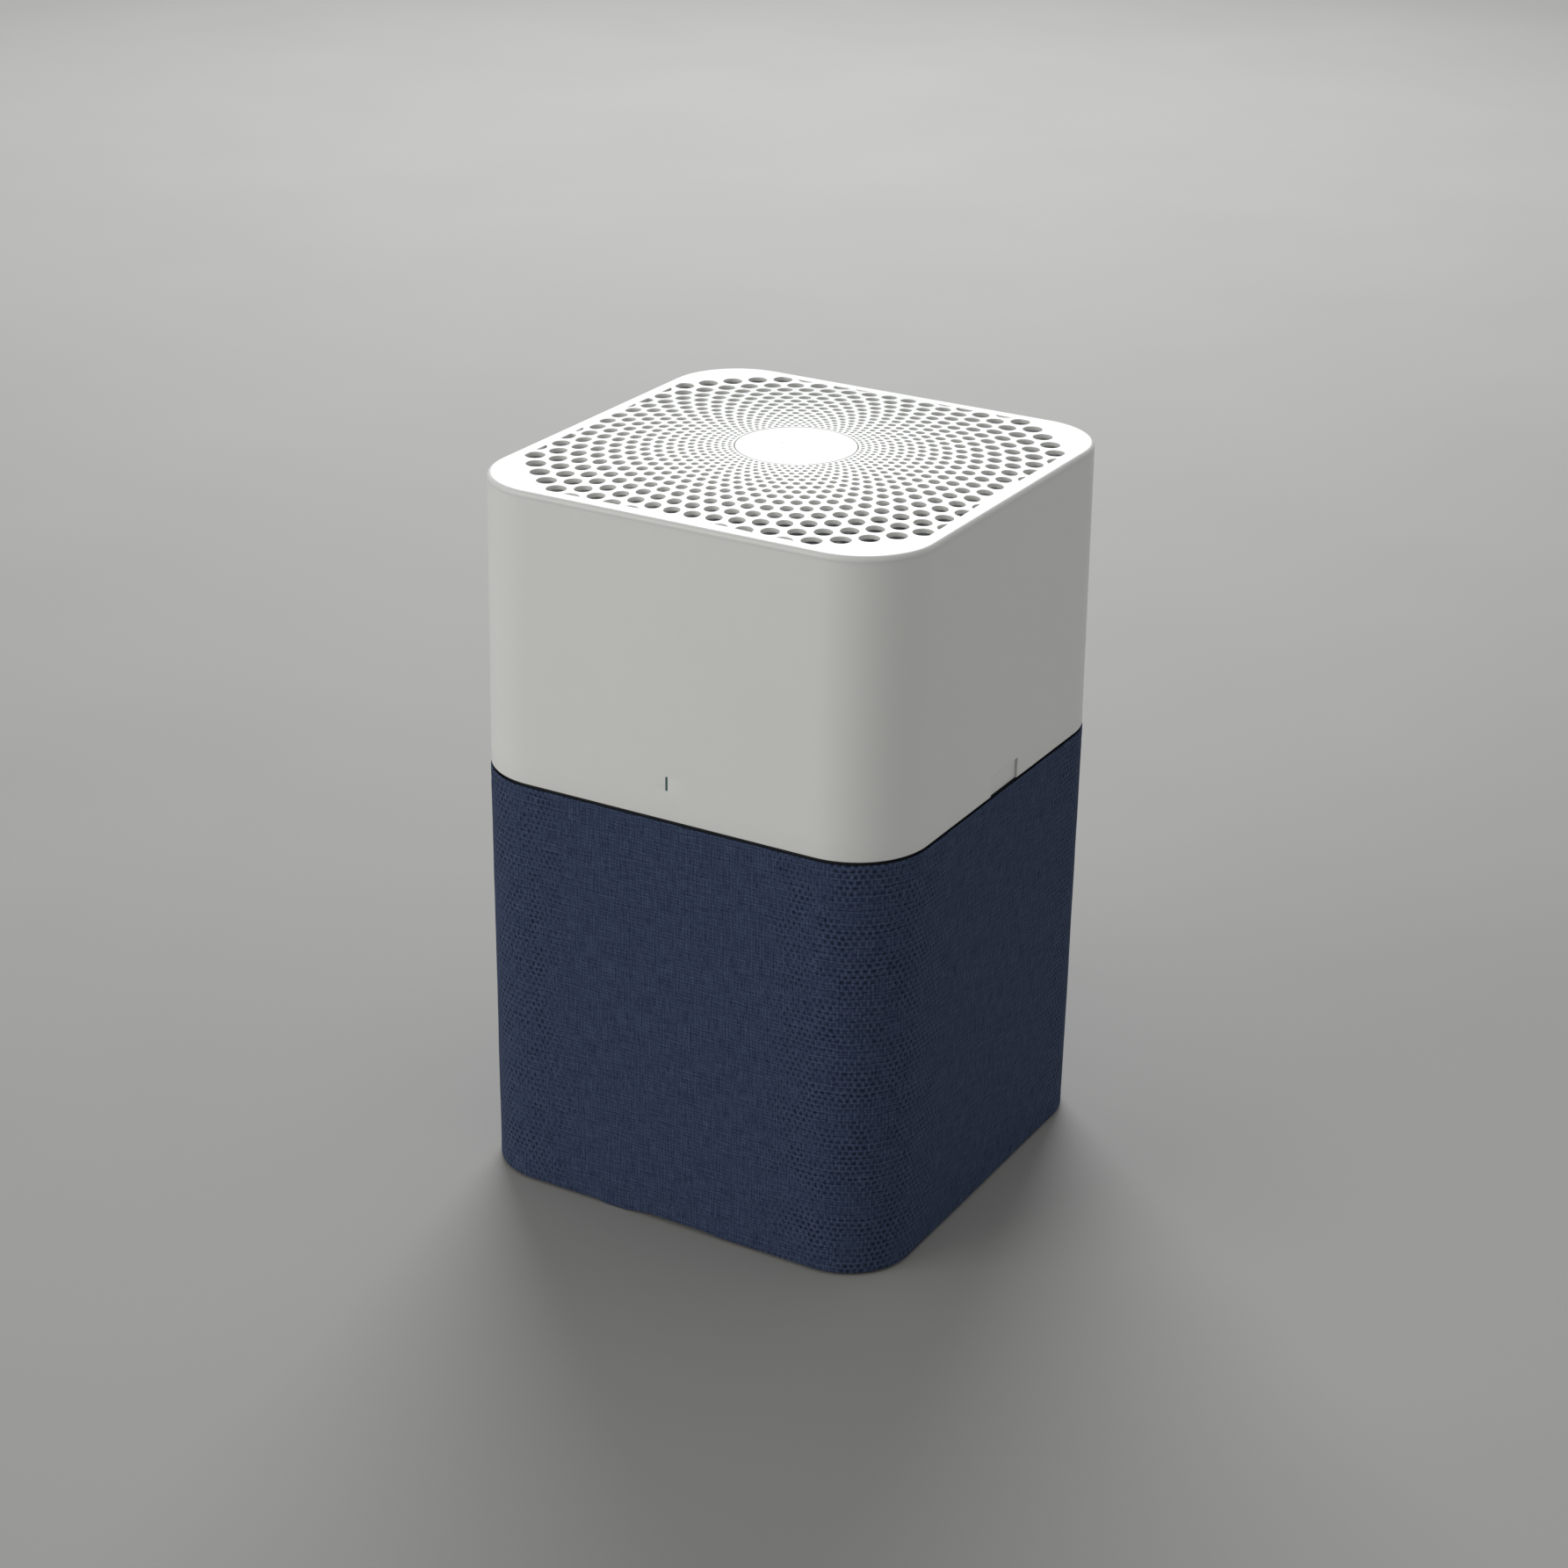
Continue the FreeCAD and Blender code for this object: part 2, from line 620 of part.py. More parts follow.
def casing_screws():
    screws = []
    for x, y in screw_places():
        seat_z = DECK_Z + SCREW_SINK
        head = rod(SCREW_HEAD, (seat_z - SCREW_HEAD_HEIGHT, seat_z), x, y)
        screws.append(fused(head, rod(SCREW_RADIUS, (seat_z, DECK_Z + SCREW_LENGTH), x, y)))
    return screws


# ---- Fan unit: duct, guards and motor ----------------------------------------------------------------

def inlet_guard():
    """Finger guard of rings and spokes over the inlet."""
    z = (DECK_TOP_Z, DECK_TOP_Z + GUARD_HEIGHT)
    inner, outer = GUARD_RIM
    rim = tube(outer, inner, z)
    half_wall = GUARD_RING_WALL / 2.0
    rings = [tube(radius + half_wall, radius - half_wall, z) for radius in GUARD_RINGS]
    spoke = block((GUARD_RINGS[0] - 2, inner + 2), (-1.2, 1.2), z)
    return fused(rim, *rings, *round_z(spoke, GUARD_SPOKES, 180.0 / GUARD_SPOKES))


def fan_duct():
    """Ring round the fan, with a flange that is screwed to the floor of the unit."""
    shell = tube(DUCT_RADIUS + DUCT_WALL, DUCT_RADIUS, (DECK_TOP_Z, DUCT_TOP_Z))
    flange = tube(DUCT_FLANGE, DUCT_RADIUS, (DECK_TOP_Z, DECK_TOP_Z + FLANGE_THICKNESS))
    return fused(shell, flange)


def blade_section(radius, pitch, chord):
    """Closed section of a blade on the plane x = radius: two curved faces and two blunt ends."""
    upper = []
    lower = []
    for station in range(7):
        along = station / 6.0 - 0.5
        bow = BLADE_CAMBER * (1.0 - 4.0 * along * along)
        half = BLADE_THICKNESS / 2.0 * (1.0 - 1.6 * along * along)
        for points, offset in ((upper, bow + half), (lower, bow - half)):
            y = along * chord * math.cos(pitch) - offset * math.sin(pitch)
            z = along * chord * math.sin(pitch) + offset * math.cos(pitch)
            points.append(vec(radius, y, BLADE_MIDDLE_Z + z))
    edges = []
    for points in (upper, lower[::-1]):
        curve = Part.BSplineCurve()
        curve.interpolate(points)
        edges.append(curve.toShape())
    edges.insert(1, Part.LineSegment(upper[-1], lower[-1]).toShape())
    edges.append(Part.LineSegment(lower[0], upper[0]).toShape())
    return Part.Wire(edges)


def impeller():
    """Hub that covers the motor, with twisted blades that flatten towards their tips."""
    sections = [blade_section(radius, math.radians(pitch), chord) for radius, pitch, chord in BLADE_SECTIONS]
    blade = Part.makeLoft(sections, True, False)
    blade = blade.common(tube(BLADE_TIP, HUB_RADIUS - 1.5, (HUB_Z + 0.5, HUB_TOP_Z - 0.5)))
    hub = rod(HUB_RADIUS, (HUB_Z, HUB_TOP_Z))
    hub = hub.cut(rod(HUB_RADIUS - HUB_WALL, (HUB_Z + HUB_WALL, HUB_TOP_Z + 1)))
    boss = rod(HUB_BOSS, (HUB_Z, CAN_Z))
    body = fused(hub, boss, *round_z(blade, BLADES))
    return body.cut(rod(SHAFT_RADIUS + BORE_GAP, (HUB_Z - 1, CAN_Z + 1)))


def rotor_can():
    """Steel cup of the outer-rotor motor, with its magnet ring."""
    cup = rod(CAN_RADIUS, (CAN_Z, CAN_TOP_Z))
    cup = cup.cut(rod(CAN_RADIUS - CAN_WALL, (CAN_Z + CAN_FLOOR, CAN_TOP_Z + 1)))
    return cup.cut(rod(SHAFT_RADIUS + BORE_GAP, (CAN_Z - 1, CAN_Z + 5)))


def bearing_races(outer, inner):
    half = BEARING_WIDTH / 2.0
    return [tube(outer, inner, (middle - half, middle + half)) for middle in BEARING_MIDDLES_Z]


def bearing_balls():
    balls = []
    for middle in BEARING_MIDDLES_Z:
        ball = Part.makeSphere(BALL_RADIUS, vec(BALL_CIRCLE, 0, middle))
        balls.extend(round_z(ball, BALLS))
    return balls


def motor_shaft():
    return rod(SHAFT_RADIUS, (HUB_Z - 6.0, MOTOR_PLATE_Z + 1.5))


def impeller_nut():
    low = HUB_Z - NUT_HEIGHT
    nut = hex_prism(NUT_ACROSS, (low, HUB_Z))
    return nut.cut(rod(SHAFT_RADIUS + BORE_GAP, (low - 1, HUB_Z + 1)))


def motor_housing():
    """Base plate of the motor with the tube that holds both bearings."""
    plate = rod(MOTOR_PLATE_RADIUS, (MOTOR_PLATE_Z, MOTOR_PLATE_TOP_Z))
    holder = rod(BEARING_TUBE_RADIUS, (BEARING_TUBE_Z, MOTOR_PLATE_Z))
    bore = rod(BEARING_OUTSIDE + BORE_GAP, (BEARING_TUBE_Z - 1, MOTOR_PLATE_TOP_Z + 1))
    holes = [rod(SCREW_RADIUS + 0.1, (MOTOR_PLATE_Z - 1, MOTOR_PLATE_TOP_Z + 1), x, y)
             for x, y in motor_screw_places()]
    return fused(plate, holder).cut(Part.makeCompound([bore] + holes))


def motor_stator():
    """Laminated core with a shoe at the end of each tooth."""
    core = tube(STATOR_CORE, BEARING_TUBE_RADIUS + BORE_GAP, STATOR_Z)
    shoe_inside = STATOR_RADIUS - SHOE_THICKNESS
    tooth = block((STATOR_CORE - 2, shoe_inside + 0.5), (-TOOTH_WIDTH / 2, TOOTH_WIDTH / 2), STATOR_Z)
    rim = tube(STATOR_RADIUS, shoe_inside, STATOR_Z)
    shoe = rim.common(block((STATOR_CORE, CAN_RADIUS), (-SHOE_WIDTH / 2, SHOE_WIDTH / 2), STATOR_Z))
    return fused(core, *round_z(tooth, TEETH), *round_z(shoe, TEETH))


def motor_windings():
    """Coil round each tooth of the stator."""
    low, high = STATOR_Z
    inner_end = STATOR_CORE + 2
    outer_end = STATOR_RADIUS - SHOE_THICKNESS - 1
    coil = block((inner_end, outer_end), (-COIL_WIDTH / 2, COIL_WIDTH / 2),
                 (low - COIL_OVERHANG, high + COIL_OVERHANG))
    half_tooth = TOOTH_WIDTH / 2 + COIL_GAP
    tooth = block((inner_end - 1, outer_end + 1), (-half_tooth, half_tooth),
                  (low - COIL_GAP, high + COIL_GAP))
    return round_z(coil.cut(tooth), TEETH)


def motor_screw_places():
    angles = [math.radians(45 + 90 * i) for i in range(4)]
    return [(MOTOR_SCREW_CIRCLE * math.cos(a), MOTOR_SCREW_CIRCLE * math.sin(a)) for a in angles]


def guide_vane_frame():
    """Fixed vanes that straighten the air, round the cup that carries the motor."""
    floor_z = MOTOR_PLATE_TOP_Z
    cup_floor = (floor_z - 1, floor_z + MOTOR_CUP_FLOOR + 1)
    cup = rod(MOTOR_CUP, (floor_z, MOTOR_CUP_TOP_Z))
    cup = cup.cut(rod(MOTOR_CUP - MOTOR_CUP_WALL, (floor_z + MOTOR_CUP_FLOOR, MOTOR_CUP_TOP_Z + 1)))
    ring_outside = DUCT_RADIUS - DECK_GAP
    ring_inside = ring_outside - VANE_RING_WALL
    ring = tube(ring_outside, ring_inside, (VANE_Z[0], DUCT_TOP_Z))
    flange = tube(DUCT_RADIUS + DUCT_WALL, ring_inside, (DUCT_TOP_Z, DUCT_TOP_Z + MOTOR_CUP_FLOOR))
    vane = block((MOTOR_CUP - 4, DUCT_RADIUS + 1), (-VANE_THICKNESS / 2, VANE_THICKNESS / 2), VANE_Z)
    vane.rotate(vec(0, 0, sum(VANE_Z) / 2), X_AXIS, VANE_TILT)
    vane = vane.common(tube(ring_outside - VANE_RING_WALL / 2, MOTOR_CUP - 1, VANE_Z))
    frame = fused(cup, ring, flange, *round_z(vane, VANES))
    holes = [rod(SCREW_RADIUS + 0.1, cup_floor, x, y) for x, y in motor_screw_places()]
    holes.append(rod(MOTOR_CUP_LEAD_HOLE, cup_floor))
    return frame.cut(Part.makeCompound(holes))


def motor_screws():
    screws = []
    head_z = MOTOR_PLATE_TOP_Z + MOTOR_CUP_FLOOR + GROMMET_HEIGHT
    for x, y in motor_screw_places():
        shank = rod(SCREW_RADIUS, (MOTOR_PLATE_Z, head_z), x, y)
        screws.append(fused(shank, rod(MOTOR_SCREW_HEAD, (head_z, head_z + 2.5), x, y)))
    return screws


def motor_grommets():
    low = MOTOR_PLATE_TOP_Z + MOTOR_CUP_FLOOR
    z = (low, low + GROMMET_HEIGHT)
    return [tube(GROMMET_RADIUS, SCREW_RADIUS + 0.1, z, x, y) for x, y in motor_screw_places()]


# ---- Fan unit: electrical parts ------------------------------------------------------------------------

def button_cup():
    """Cup under the top panel that holds the control board on three posts."""
    outer = BUTTON_OPENING + COLLAR_WALL
    cup = rod(outer, (CUP_Z, COLLAR_Z)).cut(rod(BUTTON_OPENING, (CUP_Z + CUP_FLOOR, COLLAR_Z + 1)))
    post = rod(3.0, (CUP_Z + 1.0, CONTROL_BOARD_Z), BOARD_POST_CIRCLE, 0.0)
    return fused(cup, *round_z(post, 3, 90))


def control_board():
    return rod(CONTROL_BOARD_RADIUS, (CONTROL_BOARD_Z, CONTROL_BOARD_Z + BOARD_THICKNESS))


def button_switch():
    z = CONTROL_BOARD_Z + BOARD_THICKNESS
    plunger = rod(1.7, (z + SWITCH_BODY - 0.5, z + SWITCH_HEIGHT))
    return fused(block((-3, 3), (-3, 3), (z, z + SWITCH_BODY)), plunger)


def power_board():
    """Mains power supply on its board: capacitor, transformer, heat sink and terminal block."""
    board = block((50.0, 126.0), (147.0, 147.0 + BOARD_THICKNESS), (325.0, 400.0))
    transformer = block((60.0, 84.0), (131.0, 147.0), (340.0, 364.0))
    capacitor = Part.makeCylinder(7.0, 15.0, vec(104.0, 132.0, 348.0), Y_AXIS)
    sink = block((94.0, 118.0), (135.0, 147.0), (374.0, 378.0))
    terminals = block((52.0, 60.0), (139.0, 147.0), (328.0, 348.0))
    plugs = [block((x - 6, x + 6), (139.0, 147.0), (384.0, 396.0)) for x in (66.0, 88.0)]
    return fused(board, transformer, capacitor, sink, terminals, *plugs)


def mains_inlet():
    """Two-pole appliance inlet with a figure-of-eight socket and a flange behind the casing's wall."""
    body = block((-INLET_HALF_WIDTH, INLET_HALF_WIDTH), (INLET_BACK, INLET_FACE),
                 (INLET_Z - INLET_HALF_HEIGHT, INLET_Z + INLET_HALF_HEIGHT))
    half_width = INLET_HALF_WIDTH + INLET_FLANGE_EDGE[0]
    half_height = INLET_HALF_HEIGHT + INLET_FLANGE_EDGE[1]
    flange = block((-half_width, half_width), INLET_FLANGE_Y, (INLET_Z - half_height, INLET_Z + half_height))
    floor = INLET_FACE - SOCKET_DEPTH
    socket = block((-SOCKET_LOBE_PLACE, SOCKET_LOBE_PLACE), (floor, INLET_FACE + 1),
                   (INLET_Z - SOCKET_LOBE, INLET_Z + SOCKET_LOBE))
    for x in (-SOCKET_LOBE_PLACE, SOCKET_LOBE_PLACE):
        socket = socket.fuse(Part.makeCylinder(SOCKET_LOBE, SOCKET_DEPTH + 1, vec(x, floor, INLET_Z), Y_AXIS))
    holes = [Part.makeCylinder(PIN_RADIUS + BORE_GAP, 10.0, vec(x, INLET_BACK - 1, INLET_Z), Y_AXIS)
             for x in pin_places()]
    return fused(body, flange).cut(socket).cut(Part.makeCompound(holes))


def pin_places():
    return (-PIN_SPACING / 2.0, PIN_SPACING / 2.0)


def inlet_pins():
    """Two contact pins that end short of the socket's mouth."""
    tail = INLET_BACK - 4.0
    length = INLET_FACE - 2.5 - tail
    return [Part.makeCylinder(PIN_RADIUS, length, vec(x, tail, INLET_Z), Y_AXIS) for x in pin_places()]


def mains_lead():
    """From the mains inlet to the power board's terminals."""
    return lead([vec(14.2, 152, 333), vec(26, 152, 333), vec(36, 143, 335), vec(51.9, 143, 335)], 2.4)


def motor_lead():
    """From the power board over the guide vanes into the motor's cup."""
    route = [vec(66, 143, 396.2), vec(66, 143, 428), vec(64, 136, 446), vec(48, 104, 449), vec(31, 67, 447),
             vec(20, 40, 438), vec(19, 31, 416), vec(19, 31, 392.2)]
    return lead(route, 1.8)


def control_lead():
    """From the power board up to the control board."""
    route = [vec(88, 143, 396.2), vec(88, 143, 440), vec(84, 134, 476), vec(60, 92, 494), vec(22, 37.9, 494)]
    return lead(route, 1.6)


def indicator_lens():
    """Light guide with a nose that fills the slot and a flange behind the wall."""
    half_width = SLOT_WIDTH / 2.0 - CLOSE_GAP
    half_height = SLOT_HEIGHT / 2.0 - CLOSE_GAP
    nose = block((-half_width, half_width), (-LENS_FACE, -160.0),
                 (SLOT_Z - half_height, SLOT_Z + half_height))
    flange = block((-4.0, 4.0), (-162.1, -158.0), (SLOT_Z - 8, SLOT_Z + 8))
    return fused(nose, flange)


def indicator_board():
    front = -157.8
    return block((-6.0, 6.0), (front, front + BOARD_THICKNESS), (SLOT_Z - 11, SLOT_Z + 11))


def sensor_module():
    """Particle sensor with a fan grille of slots towards the vents in the casing."""
    half_width, half_height = SENSOR_HALF
    body = block((SENSOR_X - half_width, SENSOR_X + half_width), SENSOR_Y,
                 (SENSOR_Z - half_height, SENSOR_Z + half_height))
    half_width = VENT_HALF[0]
    half_height = VENT_HALF[1] - 1
    slots = [block((x - half_width, x + half_width), (156.0, 165.0),
                   (SENSOR_Z - half_height, SENSOR_Z + half_height)) for x in vent_places()]
    return body.cut(Part.makeCompound(slots))


# ---- Press button ----------------------------------------------------------------------------------------

def control_disc():
    """Round cap that follows the dome, with a skirt that runs in the panel's collar."""
    radius = BUTTON_OPENING - BUTTON_GAP
    skirt_z = DISC_UNDERSIDE_Z - SKIRT_DEPTH
    under_dome = dome().fuse(rod(radius, (skirt_z, RIM_Z)))
    cap = rod(radius, (skirt_z, RIM_Z + DOME_RISE)).common(under_dome)
    cap = cap.cut(rod(radius - SKIRT_WALL, (skirt_z - 1, DISC_UNDERSIDE_Z)))
    dots = [rod(size + BORE_GAP, (DISC_UNDERSIDE_Z - 1, RIM_Z + 2 * DOME_RISE), x)
            for x, size in zip(DOT_PLACES, DOT_RADII)]
    return cap.cut(Part.makeCompound(dots))


def indicator_dots():
    """Two tiny light guides, flush with the cap."""
    return [rod(size, (DISC_UNDERSIDE_Z, RIM_Z + 2 * DOME_RISE), x).common(dome())
            for x, size in zip(DOT_PLACES, DOT_RADII)]


def button_stem():
    """Post under the cap that works the switch, with a disc that is bonded to the cap."""
    plunger_top = CONTROL_BOARD_Z + BOARD_THICKNESS + SWITCH_HEIGHT
    return fused(rod(3.0, (plunger_top + STEM_GAP, DISC_UNDERSIDE_Z)),
                 rod(6.0, (DISC_UNDERSIDE_Z - 2.0, DISC_UNDERSIDE_Z)))


def button_spring():
    low = CONTROL_BOARD_Z + BOARD_THICKNESS
    return coil_spring(8.0, 0.45, DISC_UNDERSIDE_Z - low, 6).translated(vec(0, 0, low))


# ---- Latches -------------------------------------------------------------------------------------------

def latch(side):
    """Finger plate with a guide pin towards the fan and a hook that reaches into the filter's frame."""
    back = LATCH_FACE - LATCH_THICKNESS
    half_width = LATCH_WINDOW - LATCH_GAP
    inner = back - LATCH_ARM_THICKNESS
    hook = (-HOOK_HALF, HOOK_HALF)
    plate = block((back, LATCH_FACE), (-half_width, half_width), (LATCH_Z, LATCH_WINDOW_TOP_Z - LATCH_GAP))
    arm = block((inner, back + 0.5), hook, (HOOK_Z[0], LATCH_ARM_TOP_Z))
    nose = block((inner, HOOK_REACH), hook, HOOK_Z)
    pin_length = back + 1 - LATCH_PIN_END
    pin = Part.makeCylinder(LATCH_PIN_RADIUS, pin_length, vec(LATCH_PIN_END, 0, LATCH_PIN_Z), X_AXIS)
    solid = fused(plate, arm, nose, pin)
    return solid if side > 0 else solid.rotated(ORIGIN, Z_AXIS, 180)


def latch_spring(side):
    seat = SPRING_SEAT[1]
    spring = coil_spring(3.3, 0.5, LATCH_FACE - LATCH_THICKNESS - seat, 4)
    spring.rotate(ORIGIN, Y_AXIS, 90)
    spring.translate(vec(seat, 0, LATCH_PIN_Z))
    return spring if side > 0 else spring.rotated(ORIGIN, Z_AXIS, 180)


# ---- The whole purifier --------------------------------------------------------------------------------

def build_filter_unit():
    save("prefilter_sleeve", prefilter_sleeve())
    save("sleeve_hem_bands", *hem_bands())
    save("filter_top_frame", filter_top_frame())
    save("filter_media", filter_media())
    save("carbon_sheet", carbon_sheet())
    save("filter_core", *filter_core())
    save("filter_base", filter_base())
    save("filter_gasket", filter_gasket())
    names = ("foot_front_left", "foot_front_right", "foot_rear_left", "foot_rear_right")
    for name, (x, y) in zip(names, foot_places()):
        save(name, rubber_foot(x, y))


def build_fan_unit():
    save("upper_casing", upper_casing())
    save("top_grille", top_grille())
    save("deck_plate", deck_plate())
    save("casing_screws", *casing_screws())
    save("inlet_guard", inlet_guard())
    save("fan_duct", fan_duct())
    save("guide_vane_frame", guide_vane_frame())
    save("motor_housing", motor_housing())
    save("motor_stator", motor_stator())
    save("motor_windings", *motor_windings())
    save("motor_screws", *motor_screws())
    save("motor_grommets", *motor_grommets())
    save("bearing_outer_races", *bearing_races(BEARING_OUTSIDE, BALL_CIRCLE + BALL_RADIUS + BALL_GAP))
    save("button_cup", button_cup())
    save("control_board", control_board())
    save("button_switch", button_switch())
    save("power_board", power_board())
    save("mains_inlet", mains_inlet())
    save("inlet_pins", *inlet_pins())
    save("mains_lead", mains_lead())
    save("motor_lead", motor_lead())
    save("control_lead", control_lead())
    save("indicator_lens", indicator_lens())
    save("indicator_board", indicator_board())
    save("sensor_module", sensor_module())


def build_fan_rotor():
    save("impeller", impeller())
    save("motor_shaft", motor_shaft())
    save("rotor_can", rotor_can())
    save("impeller_nut", impeller_nut())
    save("bearing_inner_races", *bearing_races(BALL_CIRCLE - BALL_RADIUS - BALL_GAP, SHAFT_RADIUS + BORE_GAP))
    save("bearing_balls", *bearing_balls())


def build_controls():
    save("control_disc", control_disc())
    save("indicator_dots", *indicator_dots())
    save("button_stem", button_stem())
    save("button_spring", button_spring())
    for name, side in (("left", -1), ("right", 1)):
        save("latch_" + name, latch(side))
        save("latch_spring_" + name, latch_spring(side))


os.makedirs("parts", exist_ok=True)
build_filter_unit()
build_fan_unit()
build_fan_rotor()
build_controls()
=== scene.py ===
import json
import math
import random

import bmesh
import bpy
from mathutils import Matrix, Vector, noise
from mathutils.geometry import delaunay_2d_cdt


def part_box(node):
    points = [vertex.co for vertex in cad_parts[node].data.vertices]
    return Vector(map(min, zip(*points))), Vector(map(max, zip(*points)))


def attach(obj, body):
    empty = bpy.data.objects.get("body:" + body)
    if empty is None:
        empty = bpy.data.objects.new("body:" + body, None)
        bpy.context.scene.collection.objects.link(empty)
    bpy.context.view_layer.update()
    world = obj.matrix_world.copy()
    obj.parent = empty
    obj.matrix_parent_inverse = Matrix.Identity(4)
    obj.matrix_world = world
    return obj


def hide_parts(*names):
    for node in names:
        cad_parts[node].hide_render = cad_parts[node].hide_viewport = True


# The looks of a room air purifier: white fan unit with a domed, perforated top on a navy fabric sleeve.
# Everything is in metres in the CAD frame, +Z up, with the front facing -Y.

MM = 0.001
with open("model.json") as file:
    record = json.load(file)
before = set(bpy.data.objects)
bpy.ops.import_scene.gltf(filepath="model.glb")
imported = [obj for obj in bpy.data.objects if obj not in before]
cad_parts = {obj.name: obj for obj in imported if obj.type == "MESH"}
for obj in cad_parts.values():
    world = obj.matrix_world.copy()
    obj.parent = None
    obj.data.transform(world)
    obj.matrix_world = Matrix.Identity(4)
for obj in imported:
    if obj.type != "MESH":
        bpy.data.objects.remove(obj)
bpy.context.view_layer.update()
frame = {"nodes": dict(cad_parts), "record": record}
nodes = frame["nodes"]


# ---- Sizes read from the frame, and a few that the looks add -------------------------------------------

grille_low, grille_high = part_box("top_grille")
casing_low, casing_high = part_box("upper_casing")
sleeve_low, sleeve_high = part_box("prefilter_sleeve")
disc_low, disc_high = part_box("control_disc")
inlet_low, inlet_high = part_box("mains_inlet")
sensor_low, sensor_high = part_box("sensor_module")
latch_low, latch_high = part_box("latch_right")

RIM_HALF = grille_high.x
RIM_CORNER = 53 * MM
RIM_Z = 517 * MM
PANEL_Z = casing_high.z
CASING_Z = casing_low.z
CASING_HALF = casing_high.x
CASING_CORNER = 54 * MM
WALL = 3 * MM
ROLLED_EDGE = 3 * MM
DOME_RISE = disc_high.z - RIM_Z
DOME_RADIUS = 160 * MM
SLEEVE_TOP_CORNER = 54.5 * MM
SLEEVE_BOTTOM_CORNER = 49.5 * MM
SLEEVE_BOTTOM_HALF = 164 * MM
CORNER_STEPS = 24

HOLES_PER_RING = 60
RINGS = 16
FIRST_RING_RADIUS = 45 * MM
RING_GROWTH = math.exp(math.pi * math.sqrt(3) / HOLES_PER_RING)
HOLE_SHARE_INNER = 0.58
HOLE_SHARE_OUTER = 0.75
HOLE_LIMIT = 153.2 * MM
SMALLEST_CUT_HOLE = 1.5 * MM
BUTTON_OPENING = 42 * MM
BUTTON_RADIUS = disc_high.x
COLLAR_WALL = 1.7 * MM
COLLAR_Z = 505 * MM

SLOT_HALF_WIDTH = 0.9 * MM
SLOT_HALF_HEIGHT = 5 * MM
SLOT_Z = 336 * MM
LATCH_WINDOW = 20 * MM
LATCH_WINDOW_TOP = 325 * MM
OPENING_GAP = 0.2 * MM


# ---- Mesh helpers ------------------------------------------------------------------------------------------

def between(low, high, share):
    return low + (high - low) * share


def smooth_step(low, high, value):
    share = min(max((value - low) / (high - low), 0.0), 1.0)
    return share * share * (3 - 2 * share)


def new_piece(name, vertices, faces, material, body):
    """Mesh object that rides on a CAD body, shaded smooth."""
    mesh = bpy.data.meshes.new(name)
    mesh.from_pydata([tuple(v) for v in vertices], [], faces)
    mesh.validate()
    mesh.update()
    piece = bpy.data.objects.new(name, mesh)
    bpy.context.scene.collection.objects.link(piece)
    mesh.materials.append(material)
    mesh.polygons.foreach_set("use_smooth", [True] * len(mesh.polygons))
    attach(piece, body)
    return piece


def clean_mesh(piece, merge=1e-6):
    """Joins doubled points and turns all faces outwards."""
    work = bmesh.new()
    work.from_mesh(piece.data)
    bmesh.ops.remove_doubles(work, verts=work.verts, dist=merge)
    bmesh.ops.recalc_face_normals(work, faces=work.faces)
    work.to_mesh(piece.data)
    work.free()


def apply_modifiers(piece):
    """Bakes the modifiers of a piece into its mesh."""
    graph = bpy.context.evaluated_depsgraph_get()
    mesh = bpy.data.meshes.new_from_object(piece.evaluated_get(graph))
    piece.modifiers.clear()
    piece.data = mesh


def side_stations(half, corner, marks, step):
    """Places along one flat side, from its middle outwards both ways: marks and an even fill between them."""
    flat = half - corner
    places = sorted({round(m, 7) for m in marks if abs(m) < flat} | {-flat, flat})
    filled = [places[0]]
    for low, high in zip(places, places[1:]):
        parts = max(1, round((high - low) / step))
        filled += [between(low, high, (i + 1) / parts) for i in range(parts)]
    return filled


class Outline:
    """A round-cornered square walked anticlockwise from the front, with the same stations at every size."""

    def __init__(self, half, corner, marks=((), (), (), ()), step=12 * MM, corner_steps=CORNER_STEPS):
        self.half = half
        self.corner = corner
        self.stations = []
        for side in range(4):
            flat = half - corner
            for place in side_stations(half, corner, marks[side], step):
                self.stations.append((side, place / flat, 0.0, place))
            for i in range(1, corner_steps):
                self.stations.append((side, 1.0, math.pi / 2 * i / corner_steps, flat))

    def along(self, place, flat):
        """Place along a side of another length: places near its middle stay where they are."""
        own_flat = self.half - self.corner
        still = 0.7 * own_flat
        if abs(place) <= still:
            return place
        stretched = still + (abs(place) - still) * (flat - still) / (own_flat - still)
        return math.copysign(stretched, place)

    def points(self, half, corner, z):
        """The outline at another size."""
        flat = half - corner
        ring = []
        for side, share, angle, place in self.stations:
            along = self.along(place, flat)
            x = along + corner * math.sin(angle)
            y = -(flat + corner * math.cos(angle))
            turn = math.pi / 2 * side
            ring.append(Vector((x * math.cos(turn) - y * math.sin(turn),
                                x * math.sin(turn) + y * math.cos(turn), z)))
        return ring


def ring_faces(count, low, high):
    """Quads between two rings of count points that start at the indices low and high."""
    return [(low + i, low + (i + 1) % count, high + (i + 1) % count, high + i) for i in range(count)]


def lofted(rings, closed=False):
    """Points and quads of a skin through rings of points; closed joins the last ring to the first."""
    count = len(rings[0])
    points = [p for ring in rings for p in ring]
    faces = []
    last = len(rings) if closed else len(rings) - 1
    for i in range(last):
        faces += ring_faces(count, i * count, (i + 1) % len(rings) * count)
    return points, faces


def turned(profile, steps=96, closed=True):
    """Points and quads of a (radius, z) profile turned round the Z axis."""
    rings = []
    for radius, z in profile:
        rings.append([Vector((radius * math.cos(2 * math.pi * i / steps),
                              radius * math.sin(2 * math.pi * i / steps), z)) for i in range(steps)])
    return lofted(rings, closed)


